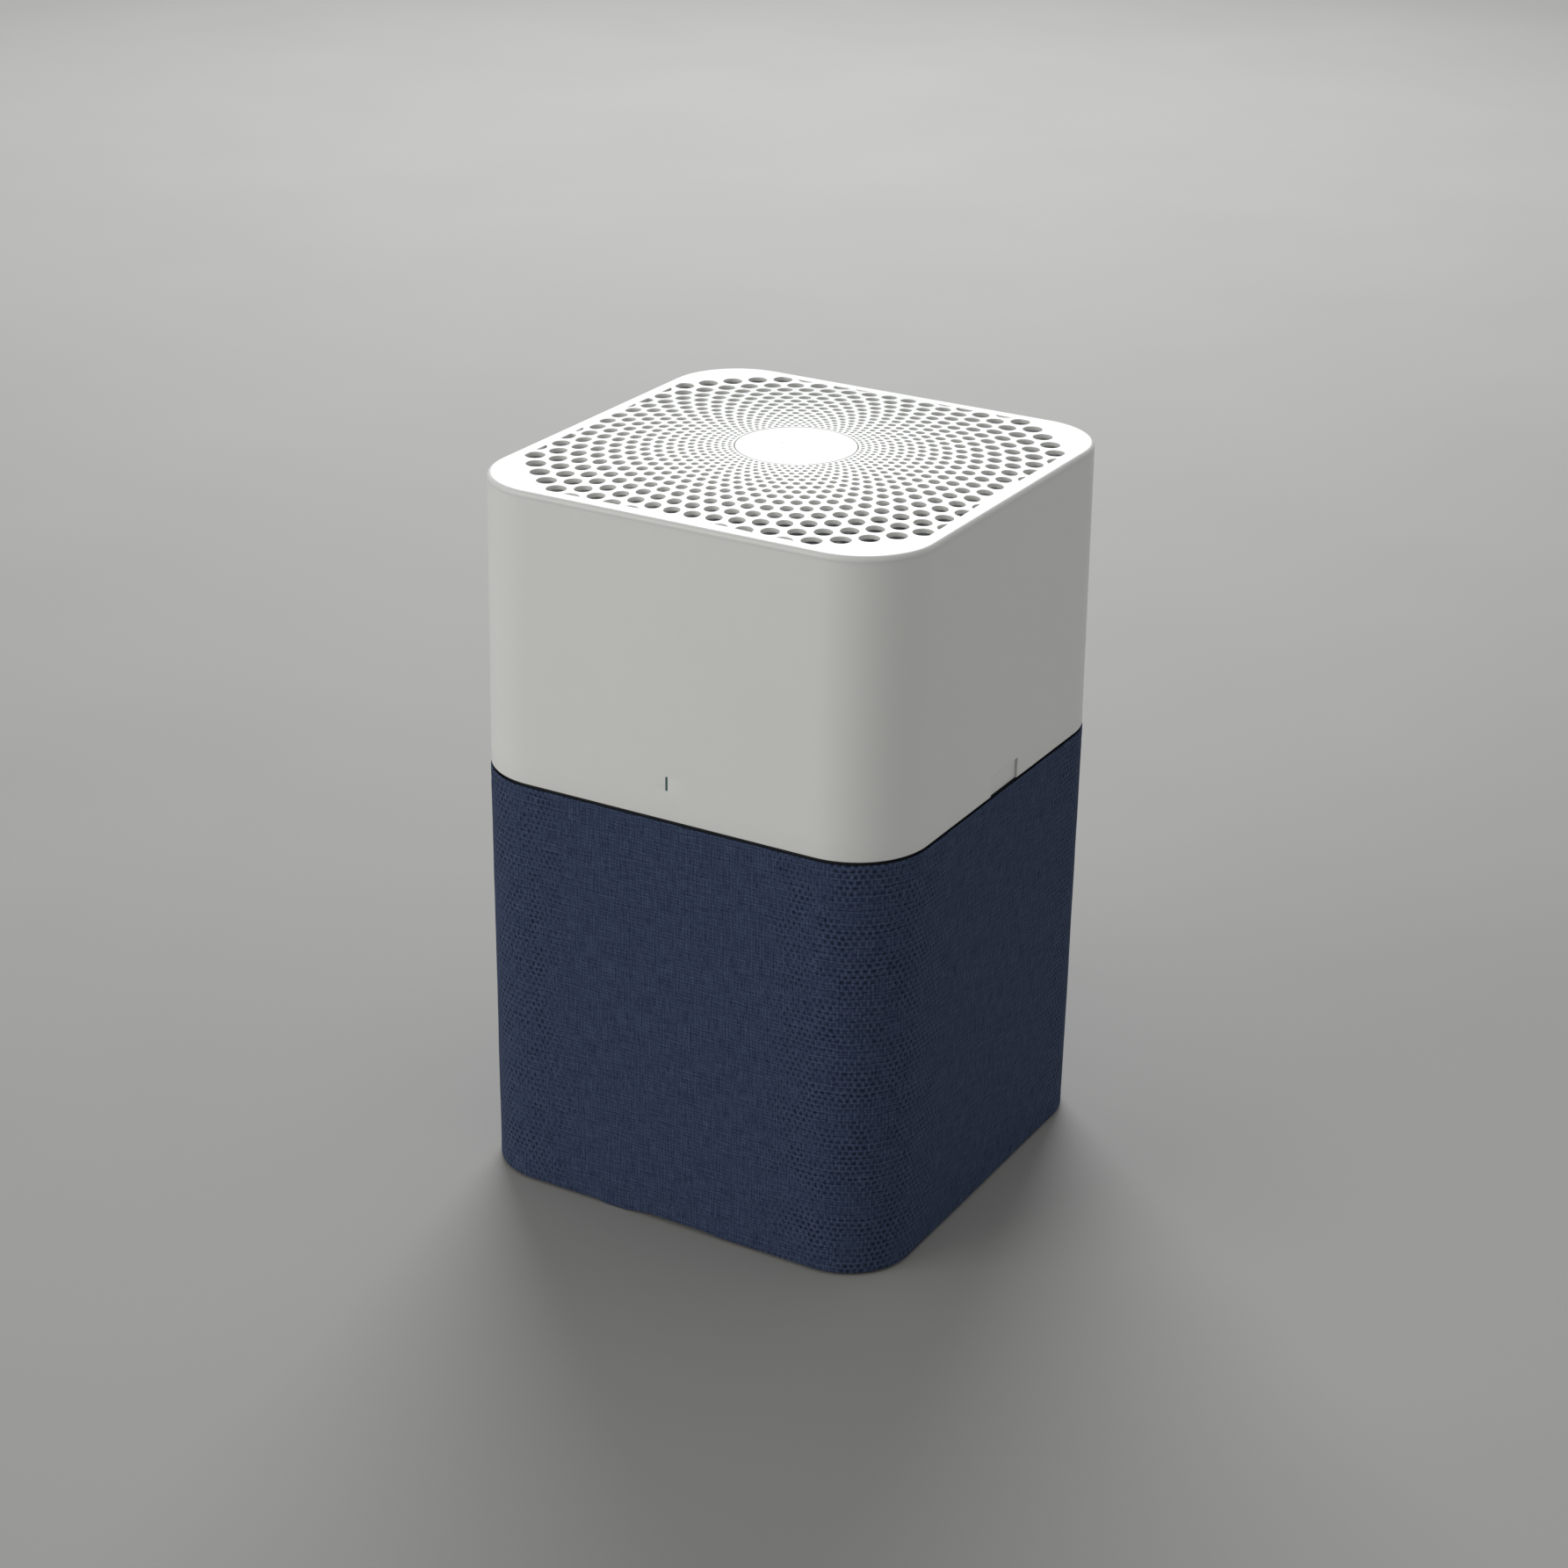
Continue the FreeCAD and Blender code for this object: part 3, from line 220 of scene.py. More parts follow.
def rounded(centre, radius, start, end, steps):
    """Points of an arc in a profile, angles in degrees."""
    return [(centre[0] + radius * math.cos(math.radians(between(start, end, i / steps))),
             centre[1] + radius * math.sin(math.radians(between(start, end, i / steps))))
            for i in range(steps + 1)]


# ---- Material helpers -----------------------------------------------------------------------------------

class Nodes:
    """A new procedural material, with short calls for the nodes that the materials share."""

    def __init__(self, name):
        self.material = bpy.data.materials.new(name)
        self.material.use_nodes = True
        self.tree = self.material.node_tree
        self.shader = self.tree.nodes["Principled BSDF"]

    def add(self, kind, **inputs):
        node = self.tree.nodes.new(kind)
        for key, value in inputs.items():
            self.feed(node.inputs[key.replace("_", " ")], value)
        return node

    def feed(self, socket, value):
        if isinstance(value, bpy.types.NodeSocket):
            self.tree.links.new(value, socket)
        else:
            socket.default_value = value

    def maths(self, operation, *values):
        node = self.tree.nodes.new("ShaderNodeMath")
        node.operation = operation
        for socket, value in zip(node.inputs, values):
            self.feed(socket, value)
        return node.outputs[0]

    def coordinates(self):
        return self.add("ShaderNodeTexCoord").outputs["Object"]

    def noise(self, scale, detail=2.0, roughness=0.5, vector=None):
        node = self.add("ShaderNodeTexNoise", Scale=scale, Detail=detail, Roughness=roughness)
        self.tree.links.new(vector or self.coordinates(), node.inputs["Vector"])
        return node.outputs["Fac"]

    def scaled(self, vector, factors):
        node = self.tree.nodes.new("ShaderNodeVectorMath")
        node.operation = "MULTIPLY"
        self.feed(node.inputs[0], vector)
        node.inputs[1].default_value = factors
        return node.outputs[0]

    def ramp(self, value, low, high, to_low, to_high):
        node = self.tree.nodes.new("ShaderNodeMapRange")
        for key, number in (("From Min", low), ("From Max", high), ("To Min", to_low), ("To Max", to_high)):
            node.inputs[key].default_value = number
        self.feed(node.inputs["Value"], value)
        return node.outputs["Result"]

    def mix(self, factor, first, second):
        node = self.tree.nodes.new("ShaderNodeMix")
        node.data_type = "RGBA"
        self.feed(node.inputs["Factor"], factor)
        self.feed(node.inputs["A"], first)
        self.feed(node.inputs["B"], second)
        return node.outputs["Result"]

    def bump(self, height, strength, distance):
        node = self.add("ShaderNodeBump", Height=height, Strength=strength, Distance=distance)
        return node.outputs["Normal"]

    def surface(self, **inputs):
        for key, value in inputs.items():
            self.feed(self.shader.inputs[key.replace("_", " ")], value)
        return self.material


def moulded_plastic(name, colour, roughness, grain=0.25, grain_scale=2600.0, variation=0.02, scatter=0.0):
    """Moulded plastic: fine spark-eroded grain, faint cloudiness of colour and uneven gloss."""
    n = Nodes(name)
    cloud = n.noise(9.0, 3.0)
    fine = n.noise(grain_scale, 2.0)
    dark = [c * (1 - variation) for c in colour] + [1]
    light = [min(1.0, c * (1 + variation)) for c in colour] + [1]
    gloss = n.ramp(n.noise(60.0, 3.0), 0.3, 0.7, roughness - 0.03, roughness + 0.03)
    return n.surface(Base_Color=n.mix(cloud, dark, light), Roughness=gloss, Subsurface_Weight=scatter,
                     Subsurface_Radius=(1.0, 0.95, 0.85), Subsurface_Scale=0.002,
                     Normal=n.bump(fine, grain, 0.00005))


def metal(name, colour, roughness, stretch=(1.0, 1.0, 1.0), scale=900.0, metallic=1.0):
    """Metal with fine marks drawn out along one direction."""
    n = Nodes(name)
    marks = n.noise(scale, 3.0, 0.6, n.scaled(n.coordinates(), stretch))
    dark = [c * 0.85 for c in colour] + [1]
    return n.surface(Base_Color=n.mix(marks, dark, list(colour) + [1]), Metallic=metallic,
                     Roughness=n.ramp(marks, 0.3, 0.7, roughness - 0.06, roughness + 0.08),
                     Normal=n.bump(marks, 0.2, 0.00004))


def fibre(name, colour, scale, strength, stretch=(1.0, 1.0, 1.0), sheen=0.2):
    """Felted or non-woven fibre: mottled colour and a tangled surface."""
    n = Nodes(name)
    tangle = n.noise(scale, 6.0, 0.7, n.scaled(n.coordinates(), stretch))
    dark = [c * 0.7 for c in colour] + [1]
    return n.surface(Base_Color=n.mix(tangle, dark, list(colour) + [1]), Roughness=0.95, Sheen_Weight=sheen,
                     Normal=n.bump(tangle, strength, 0.0003))


def rubber(name, colour, roughness=0.75):
    n = Nodes(name)
    specks = n.noise(1800.0, 2.0)
    dark = [c * 0.8 for c in colour] + [1]
    return n.surface(Base_Color=n.mix(specks, dark, list(colour) + [1]),
                     Roughness=n.ramp(n.noise(90.0), 0.3, 0.7, roughness - 0.08, roughness + 0.08),
                     Normal=n.bump(specks, 0.35, 0.00008))


def circuit_board():
    """Solder mask over tracks that run in steps under it."""
    n = Nodes("circuit_board")
    cells = n.add("ShaderNodeTexVoronoi", Scale=420.0)
    cells.distance = "MANHATTAN"
    tracks = n.ramp(cells.outputs["Distance"], 0.25, 0.4, 0.0, 1.0)
    return n.surface(Base_Color=n.mix(tracks, (0.03, 0.16, 0.07, 1), (0.05, 0.25, 0.11, 1)), Roughness=0.35,
                     Normal=n.bump(tracks, 0.3, 0.00006))


def copper_wire():
    """Enamelled windings: fine turns side by side."""
    n = Nodes("copper_wire")
    wave = n.add("ShaderNodeTexWave", Scale=700.0, Distortion=1.2)
    wave.bands_direction = "Z"
    return n.surface(Base_Color=n.mix(wave.outputs["Fac"], (0.30, 0.11, 0.04, 1), (0.72, 0.33, 0.14, 1)),
                     Metallic=0.85, Roughness=0.32, Normal=n.bump(wave.outputs["Fac"], 0.6, 0.0003))


def laminations():
    """Stack of thin steel sheets."""
    n = Nodes("lamination_steel")
    wave = n.add("ShaderNodeTexWave", Scale=630.0)
    wave.bands_direction = "Z"
    return n.surface(Base_Color=n.mix(wave.outputs["Fac"], (0.10, 0.10, 0.11, 1), (0.32, 0.32, 0.33, 1)),
                     Metallic=0.9, Roughness=0.45, Normal=n.bump(wave.outputs["Fac"], 0.5, 0.0002))


def smoked_lens():
    """Dark teal light window, unlit, with a faint pale core."""
    n = Nodes("indicator_lens")
    core = n.noise(350.0, 1.0)
    return n.surface(Base_Color=n.mix(core, (0.015, 0.05, 0.055, 1), (0.05, 0.13, 0.14, 1)), Roughness=0.18,
                     Coat_Weight=0.6, Normal=n.bump(n.noise(900.0), 0.05, 0.00003))


def woven_navy():
    """Heathered navy fabric: linen-like weave, slubs, and a lattice of pores that opens where it is stretched.
    The cloth attribute gives the place on the cloth in metres, x along the weft and y along the warp,
    and in z how far the cloth is stretched there."""
    n = Nodes("navy_fabric")
    attribute = n.add("ShaderNodeAttribute")
    attribute.attribute_name = "cloth"
    cloth = attribute.outputs["Vector"]
    split = n.tree.nodes.new("ShaderNodeSeparateXYZ")
    n.feed(split.inputs[0], cloth)
    flat = n.scaled(cloth, (1.0, 1.0, 0.0))
    sway = n.maths("MULTIPLY", n.maths("SUBTRACT", n.noise(110.0, 3.0, 0.6, flat), 0.5), 4.6 * MM)
    lean = n.maths("MULTIPLY", n.maths("SUBTRACT", n.noise(90.0, 3.0, 0.6, flat), 0.5), 3.6 * MM)
    across = n.maths("ADD", split.outputs["X"], sway)
    up = n.maths("ADD", split.outputs["Y"], lean)
    stretch = split.outputs["Z"]

    def wave(value, pitch, phase=0.0):
        return n.maths("SINE", n.maths("ADD", n.maths("MULTIPLY", value, 2 * math.pi / pitch), phase))

    # Threads that pass over each other in turn.
    thread = 2.3 * MM
    warp = n.maths("ABSOLUTE", wave(across, 2 * thread))
    weft = n.maths("ABSOLUTE", wave(up, 2 * thread))
    over = n.maths("MULTIPLY", wave(across, 2 * thread, math.pi / 2), wave(up, 2 * thread, math.pi / 2))
    over_share = n.ramp(over, -0.35, 0.35, 0.0, 1.0)
    weave = n.maths("ADD", n.maths("MULTIPLY", warp, over_share),
                    n.maths("MULTIPLY", weft, n.maths("SUBTRACT", 1.0, over_share)))

    # Pores in a hexagonal lattice: the sum of three waves turned by 60 degrees.
    pore_pitch = 4.5 * MM
    row_pitch = 4.0 * MM
    columns = n.maths("MULTIPLY", across, 1 / pore_pitch)
    half_rows = n.maths("MULTIPLY", up, 0.5 / row_pitch)
    slants = (n.maths("ADD", columns, half_rows), n.maths("SUBTRACT", columns, half_rows),
              n.maths("MULTIPLY", half_rows, 2.0))
    waves = [n.maths("COSINE", n.maths("MULTIPLY", slant, 2 * math.pi)) for slant in slants]
    lattice = n.maths("ADD", n.maths("ADD", waves[0], waves[1]), waves[2])
    patchy = n.ramp(n.noise(45.0, 3.0, 0.6, flat), 0.36, 0.62, 0.25, 1.0)
    open_share = n.maths("MULTIPLY", patchy, n.ramp(stretch, 0.0, 1.0, 0.2, 0.95))
    pores = n.maths("MULTIPLY", n.ramp(lattice, 0.0, 2.4, 0.0, 1.0), open_share)
    net = n.maths("MULTIPLY", n.ramp(lattice, -0.6, -1.5, 0.0, 1.0), open_share)

    # Yarn: slubs along both threads, and mottled dye.
    warp_slub = n.noise(1.0, 3.0, 0.65, n.scaled(flat, (640.0, 62.0, 1.0)))
    weft_slub = n.noise(1.0, 3.0, 0.65, n.scaled(flat, (66.0, 680.0, 1.0)))
    slubs = n.maths("ADD", n.maths("MULTIPLY", warp_slub, 0.52), n.maths("MULTIPLY", weft_slub, 0.48))
    fluff = n.noise(1300.0, 4.0, 0.7, flat)

    thread_gap_shade = (0.006, 0.011, 0.028, 1)
    body_colour = (0.0185, 0.0305, 0.0745, 1)
    pale = (0.092, 0.124, 0.214, 1)
    yarn = n.mix(n.ramp(slubs, 0.32, 0.70, 0.0, 1.0), body_colour, pale)
    # Painted shade: the yarn colour turns to a dark navy where the weave dips between the threads.
    shaded = n.mix(n.ramp(weave, 0.05, 0.65, 0.25, 1.0), thread_gap_shade, yarn)
    netted = n.mix(n.maths("MULTIPLY", net, 0.45), shaded, (0.097, 0.133, 0.223, 1))
    # Painted shade: the open pores turn near black, standing in for the shade seen through them; the bump also dips
    # there.
    colour = n.mix(n.maths("MULTIPLY", pores, 0.85), netted, (0.003, 0.006, 0.016, 1))
    raised = n.maths("ADD", n.maths("MULTIPLY", weave, 0.6), n.maths("MULTIPLY", slubs, 1.6))
    height = n.maths("SUBTRACT", n.maths("ADD", raised, n.maths("MULTIPLY", fluff, 0.35)),
                     n.maths("MULTIPLY", pores, 1.2))
    return n.surface(Base_Color=colour, Roughness=0.95, Sheen_Weight=0.02, Sheen_Roughness=0.5,
                     Specular_IOR_Level=0.12, Normal=n.bump(height, 0.6, 0.0007))


MATERIALS = {
    "white_plastic": moulded_plastic("white_plastic", (0.83, 0.83, 0.805), 0.38, grain=0.06, scatter=0.3),
    "dark_plastic": moulded_plastic("dark_plastic", (0.022, 0.025, 0.03), 0.5, grain=0.5, grain_scale=1500.0),
    "light_grey_plastic": moulded_plastic("light_grey_plastic", (0.70, 0.71, 0.72), 0.5, grain=0.3),
    "fan_plastic": moulded_plastic("fan_plastic", (0.16, 0.18, 0.21), 0.38, grain=0.2),
    "navy_fabric": woven_navy(),
    "indicator_lens": smoked_lens(),
    "filter_paper": fibre("filter_paper", (0.78, 0.78, 0.73), 1300.0, 0.5),
    "carbon_felt": fibre("carbon_felt", (0.035, 0.035, 0.037), 900.0, 0.9),
    "elastic": fibre("elastic", (0.03, 0.045, 0.08), 500.0, 0.8, stretch=(1.0, 1.0, 4.0)),
    "foam_rubber": fibre("foam_rubber", (0.06, 0.06, 0.062), 1600.0, 0.7, sheen=0.0),
    "rubber": rubber("rubber", (0.035, 0.036, 0.04)),
    "steel": metal("steel", (0.60, 0.61, 0.62), 0.30),
    "lamination_steel": laminations(),
    "cast_aluminium": metal("cast_aluminium", (0.62, 0.63, 0.65), 0.48, scale=1500.0),
    "copper_wire": copper_wire(),
    "brass": metal("brass", (0.80, 0.60, 0.30), 0.25, stretch=(1.0, 0.2, 1.0)),
    "circuit_board": circuit_board(),
    "black_sheath": rubber("black_sheath", (0.02, 0.02, 0.022), 0.45),
    "grey_sheath": rubber("grey_sheath", (0.28, 0.29, 0.30), 0.5),
}


def dress_cad_nodes():
    """Gives every CAD node the material of its slot in the record."""
    slots = {row["node"]: row["material_slot"] for row in frame["record"]["subparts"]}
    for name, node in nodes.items():
        node.data.materials.clear()
        node.data.materials.append(MATERIALS[slots[name]])


# ---- White casing --------------------------------------------------------------------------------------------

def casing_size(inset, z):
    share = (z - CASING_Z) / (RIM_Z - CASING_Z)
    return (between(CASING_HALF, RIM_HALF, share) - inset, between(CASING_CORNER, RIM_CORNER, share) - inset)


def casing_windows():
    """Openings in the casing: side, low and high place along the side, low and high z.
    Sides are counted anticlockwise from the front, and places run with the walk round the outline."""
    windows = [(0, -SLOT_HALF_WIDTH, SLOT_HALF_WIDTH, SLOT_Z - SLOT_HALF_HEIGHT, SLOT_Z + SLOT_HALF_HEIGHT)]
    for side in (1, 3):
        windows.append((side, -LATCH_WINDOW, LATCH_WINDOW, None, LATCH_WINDOW_TOP))
    gap = OPENING_GAP
    body_half = inlet_high.x - 4 * MM + gap
    middle = (inlet_low.z + inlet_high.z) / 2
    body_tall = (inlet_high.z - inlet_low.z) / 2 - 3 * MM + gap
    windows.append((2, -body_half, body_half, middle - body_tall, middle + body_tall))
    sensor_x = (sensor_low.x + sensor_high.x) / 2
    sensor_z = (sensor_low.z + sensor_high.z) / 2
    for vent in range(5):
        place = -(sensor_x + 5 * MM * (vent - 2))
        windows.append((2, place - MM, place + MM, sensor_z - 9 * MM, sensor_z + 9 * MM))
    return windows


def make_casing():
    """Drafted shell with a softened lower edge and real openings through its wall."""
    windows = casing_windows()
    marks = [[], [], [], []]
    for side, low, high, bottom, top in windows:
        marks[side] += [low, high]
    outline = Outline(CASING_HALF, CASING_CORNER, marks)
    edge = 0.9 * MM
    levels = {CASING_Z + edge, PANEL_Z}
    levels |= {between(CASING_Z + edge, PANEL_Z, i / 14) for i in range(1, 14)}
    for side, low, high, bottom, top in windows:
        levels |= {z for z in (bottom, top) if z is not None}
    levels = sorted(levels)
    spaced = [levels[0]]
    for z in levels[1:]:
        if z - spaced[-1] > 0.1 * MM:
            spaced.append(z)
    profile = [(edge - edge * math.sin(a), CASING_Z + edge - edge * math.cos(a), "lip")
               for a in [math.pi / 2 * i / 4 for i in range(4)]]
    profile += [(0.0, z, "outer") for z in spaced]
    profile += [(WALL, z, "inner") for z in reversed(spaced)]
    profile += [(WALL, CASING_Z + 0.4 * MM, "lip"), (WALL - 0.4 * MM, CASING_Z, "lip")]
    rings = []
    for inset, z, kind in profile:
        rings.append(outline.points(*casing_size(inset, z), z))
    count = len(rings[0])
    points = [p for ring in rings for p in ring]
    faces = []
    for i in range(len(rings)):
        after = (i + 1) % len(rings)
        middle_z = (profile[i][1] + profile[after][1]) / 2
        for j in range(count):
            k = (j + 1) % count
            if in_window(outline, windows, j, k, middle_z, profile[i][2], profile[after][2]):
                continue
            faces.append((i * count + j, i * count + k, after * count + k, after * count + j))
    piece = new_piece("casing_shell", points, faces, MATERIALS["white_plastic"], "fan_unit")
    close_windows(piece)
    soften_windows(piece)
    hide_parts("upper_casing")
    return piece


def in_window(outline, windows, j, k, z, kind, next_kind):
    """Whether the quad between two stations at height z lies in one of the openings."""
    side, share, angle, place = outline.stations[j]
    next_side, next_share, next_angle, next_place = outline.stations[k]
    if angle or next_angle or side != next_side:
        return False
    if {kind, next_kind} == {"outer", "inner"}:
        return False
    middle = (place + next_place) / 2
    for window_side, low, high, bottom, top in windows:
        if side == window_side and low < middle < high and z < top and (bottom is None or z > bottom):
            return True
    return False


def close_windows(piece):
    """Joins the open edges of the outer wall to the matching ones of the inner wall."""
    work = bmesh.new()
    work.from_mesh(piece.data)
    work.edges.ensure_lookup_table()
    loose = [e for e in work.edges if e.is_boundary]
    loops = boundary_loops(loose)
    pairs = match_loops(loops)
    for first, second in pairs:
        bmesh.ops.bridge_loops(work, edges=first + second)
    bmesh.ops.recalc_face_normals(work, faces=work.faces)
    work.to_mesh(piece.data)
    work.free()


def boundary_loops(edges):
    """Groups of boundary edges that hang together."""
    left = set(edges)
    loops = []
    while left:
        start = left.pop()
        loop = [start]
        queue = list(start.verts)
        while queue:
            vertex = queue.pop()
            for edge in vertex.link_edges:
                if edge in left:
                    left.discard(edge)
                    loop.append(edge)
                    queue += list(edge.verts)
        loops.append(loop)
    return loops


def loop_centre(loop):
    total = Vector()
    for edge in loop:
        total += (edge.verts[0].co + edge.verts[1].co) / 2
    return total / len(loop)


def match_loops(loops):
    """Pairs each loop with the nearest other one."""
    left = list(loops)
    pairs = []
    while len(left) > 1:
        first = left.pop(0)
        centre = loop_centre(first)
        second = min(left, key=lambda other: (loop_centre(other) - centre).length)
        left.remove(second)
        pairs.append((first, second))
    return pairs


def soften_windows(piece):
    """Rounds the outer edges of the openings, as moulded plastic has them."""
    work = bmesh.new()
    work.from_mesh(piece.data)
    sharp = []
    for edge in work.edges:
        if len(edge.link_faces) != 2 or edge.calc_face_angle(0) < math.radians(60):
            continue
        middle = (edge.verts[0].co + edge.verts[1].co) / 2
        if middle.z > PANEL_Z - MM:
            continue
        sharp.append(edge)
    bmesh.ops.bevel(work, geom=sharp, offset=0.25 * MM, segments=2, profile=0.5, affect="EDGES",
                    clamp_overlap=True)
    work.to_mesh(piece.data)
    work.free()
    piece.data.polygons.foreach_set("use_smooth", [True] * len(piece.data.polygons))
    piece.data.set_sharp_from_angle(angle=math.radians(28))


def make_latch(name, side):
    """Finger plate set a little back in the casing, with its arm, hook and guide pin."""
    half_width = LATCH_WINDOW - 0.4 * MM
    face = 163.8 * MM
    hook_half = 14 * MM
    parts = [((159.2 * MM, face), (-half_width, half_width), (309.7 * MM, LATCH_WINDOW_TOP - 0.4 * MM)),
             ((157.0 * MM, 159.7 * MM), (-hook_half, hook_half), (latch_low.z, 315.8 * MM)),
             ((157.0 * MM, 161.0 * MM), (-hook_half, hook_half), (latch_low.z, latch_low.z + 2.5 * MM))]
    work = bmesh.new()
    for x, y, z in parts:
        size = Vector((x[1] - x[0], y[1] - y[0], z[1] - z[0]))
        middle = Vector((sum(x) / 2, sum(y) / 2, sum(z) / 2))
        made = bmesh.ops.create_cube(work, size=1.0)["verts"]
        for vertex in made:
            vertex.co = Vector([a * b for a, b in zip(vertex.co, size)]) + middle
    bmesh.ops.bevel(work, geom=list(work.edges), offset=0.5 * MM, segments=3, profile=0.5, affect="EDGES")
    pin = bmesh.ops.create_cone(work, cap_ends=True, segments=24, radius1=1.5 * MM, radius2=1.5 * MM,
                                depth=19.2 * MM)["verts"]
    for vertex in pin:
        vertex.co = Vector((vertex.co.z + 150.6 * MM, vertex.co.y, vertex.co.x + 320 * MM))
    if side < 0:
        bmesh.ops.rotate(work, verts=list(work.verts), matrix=Matrix.Rotation(math.pi, 3, "Z"))
    bmesh.ops.recalc_face_normals(work, faces=work.faces)
    points = [v.co.copy() for v in work.verts]
    work.verts.index_update()
    faces = [[v.index for v in face.verts] for face in work.faces]
    work.free()
    piece = new_piece(name + "_paddle", points, faces, MATERIALS["white_plastic"], name)
    piece.data.set_sharp_from_angle(angle=math.radians(32))
    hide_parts(name)


# ---- Perforated top panel ---------------------------------------------------------------------------------

def rim_distance(x, y):
    """How far a point of the top lies inside the panel's outline."""
    flat = RIM_HALF - RIM_CORNER
    over_x = max(abs(x) - flat, 0.0)
    over_y = max(abs(y) - flat, 0.0)
    if over_x > 0 and over_y > 0:
        return RIM_CORNER - math.hypot(over_x, over_y)
    return RIM_HALF - max(abs(x), abs(y))


def panel_height(x, y):
    """Height of the top surface: a low dome that runs out softly into the flat rim."""
    cap = DOME_RISE * (1 - (x * x + y * y) / DOME_RADIUS ** 2)
    soft = 0.35 * MM
    rise = (cap + math.sqrt(cap * cap + soft * soft)) / 2
    fade = smooth_step(ROLLED_EDGE, 10 * MM, rim_distance(x, y))
    return RIM_Z + rise * fade


def hole_steps(radius):
    """Points round a hole: more on the large ones."""
    return 20 if radius < 3 * MM else 28


def cut_square(outline, limit):
    """Cuts a convex outline off along the square limit."""
    for axis in (0, 1):
        for sign in (-1, 1):
            kept = []
            for i, point in enumerate(outline):
                before = outline[i - 1]
                inside = sign * point[axis] <= limit
                was_inside = sign * before[axis] <= limit
                if inside != was_inside:
                    share = (sign * limit - before[axis]) / (point[axis] - before[axis])
                    kept.append(tuple(between(before[n], point[n], share) for n in (0, 1)))
                if inside:
                    kept.append(point)
            outline = kept
    return outline


def grille_openings():
    """Outline and softening of every hole: rings of staggered holes inside the square limit."""
    openings = []
    for ring in range(RINGS):
        radius = FIRST_RING_RADIUS * RING_GROWTH ** ring
        pitch = 2 * math.pi * radius / HOLES_PER_RING
        hole = pitch / 2 * between(HOLE_SHARE_INNER, HOLE_SHARE_OUTER, ring / (RINGS - 1))
        softening = min(0.16 * MM, 0.05 * pitch)
        steps = hole_steps(hole)
        for step in range(HOLES_PER_RING):
            angle = 2 * math.pi * (step + 0.5 * (ring % 2)) / HOLES_PER_RING
            x = radius * math.cos(angle)
            y = radius * math.sin(angle)
            reach = max(abs(x), abs(y))
            if reach - hole > HOLE_LIMIT - SMALLEST_CUT_HOLE:
                continue
            circle = [(x + hole * math.cos(angle + 2 * math.pi * i / steps),
                       y + hole * math.sin(angle + 2 * math.pi * i / steps)) for i in range(steps)]
            if reach + hole > HOLE_LIMIT:
                circle = cut_square(circle, HOLE_LIMIT)
            openings.append((circle, softening))
    return openings


def grown(outline, distance):
    """Convex anticlockwise outline moved outwards, with blunted corners."""
    moved = []
    count = len(outline)
    for i, point in enumerate(outline):
        before = Vector(outline[i - 1])
        here = Vector(point)
        after = Vector(outline[(i + 1) % count])
        first = (here - before).normalized()
        second = (after - here).normalized()
        normal = Vector((first.y + second.y, -first.x - second.x))
        if normal.length < 1e-9:
            normal = Vector((first.y, -first.x))
        normal.normalize()
        stretch = min(1 / max(0.3, normal.dot(Vector((first.y, -first.x)))), 1.8)
        moved.append(tuple(here + normal * distance * stretch))
    return moved


class Skin:
    """Collects points and faces for a mesh."""

    def __init__(self):
        self.points = []
        self.faces = []

    def ring(self, points):
        start = len(self.points)
        self.points += [Vector(p) for p in points]
        return list(range(start, start + len(points)))

    def join(self, low, high):
        count = len(low)
        for i in range(count):
            k = (i + 1) % count
            self.faces.append((low[i], low[k], high[k], high[i]))


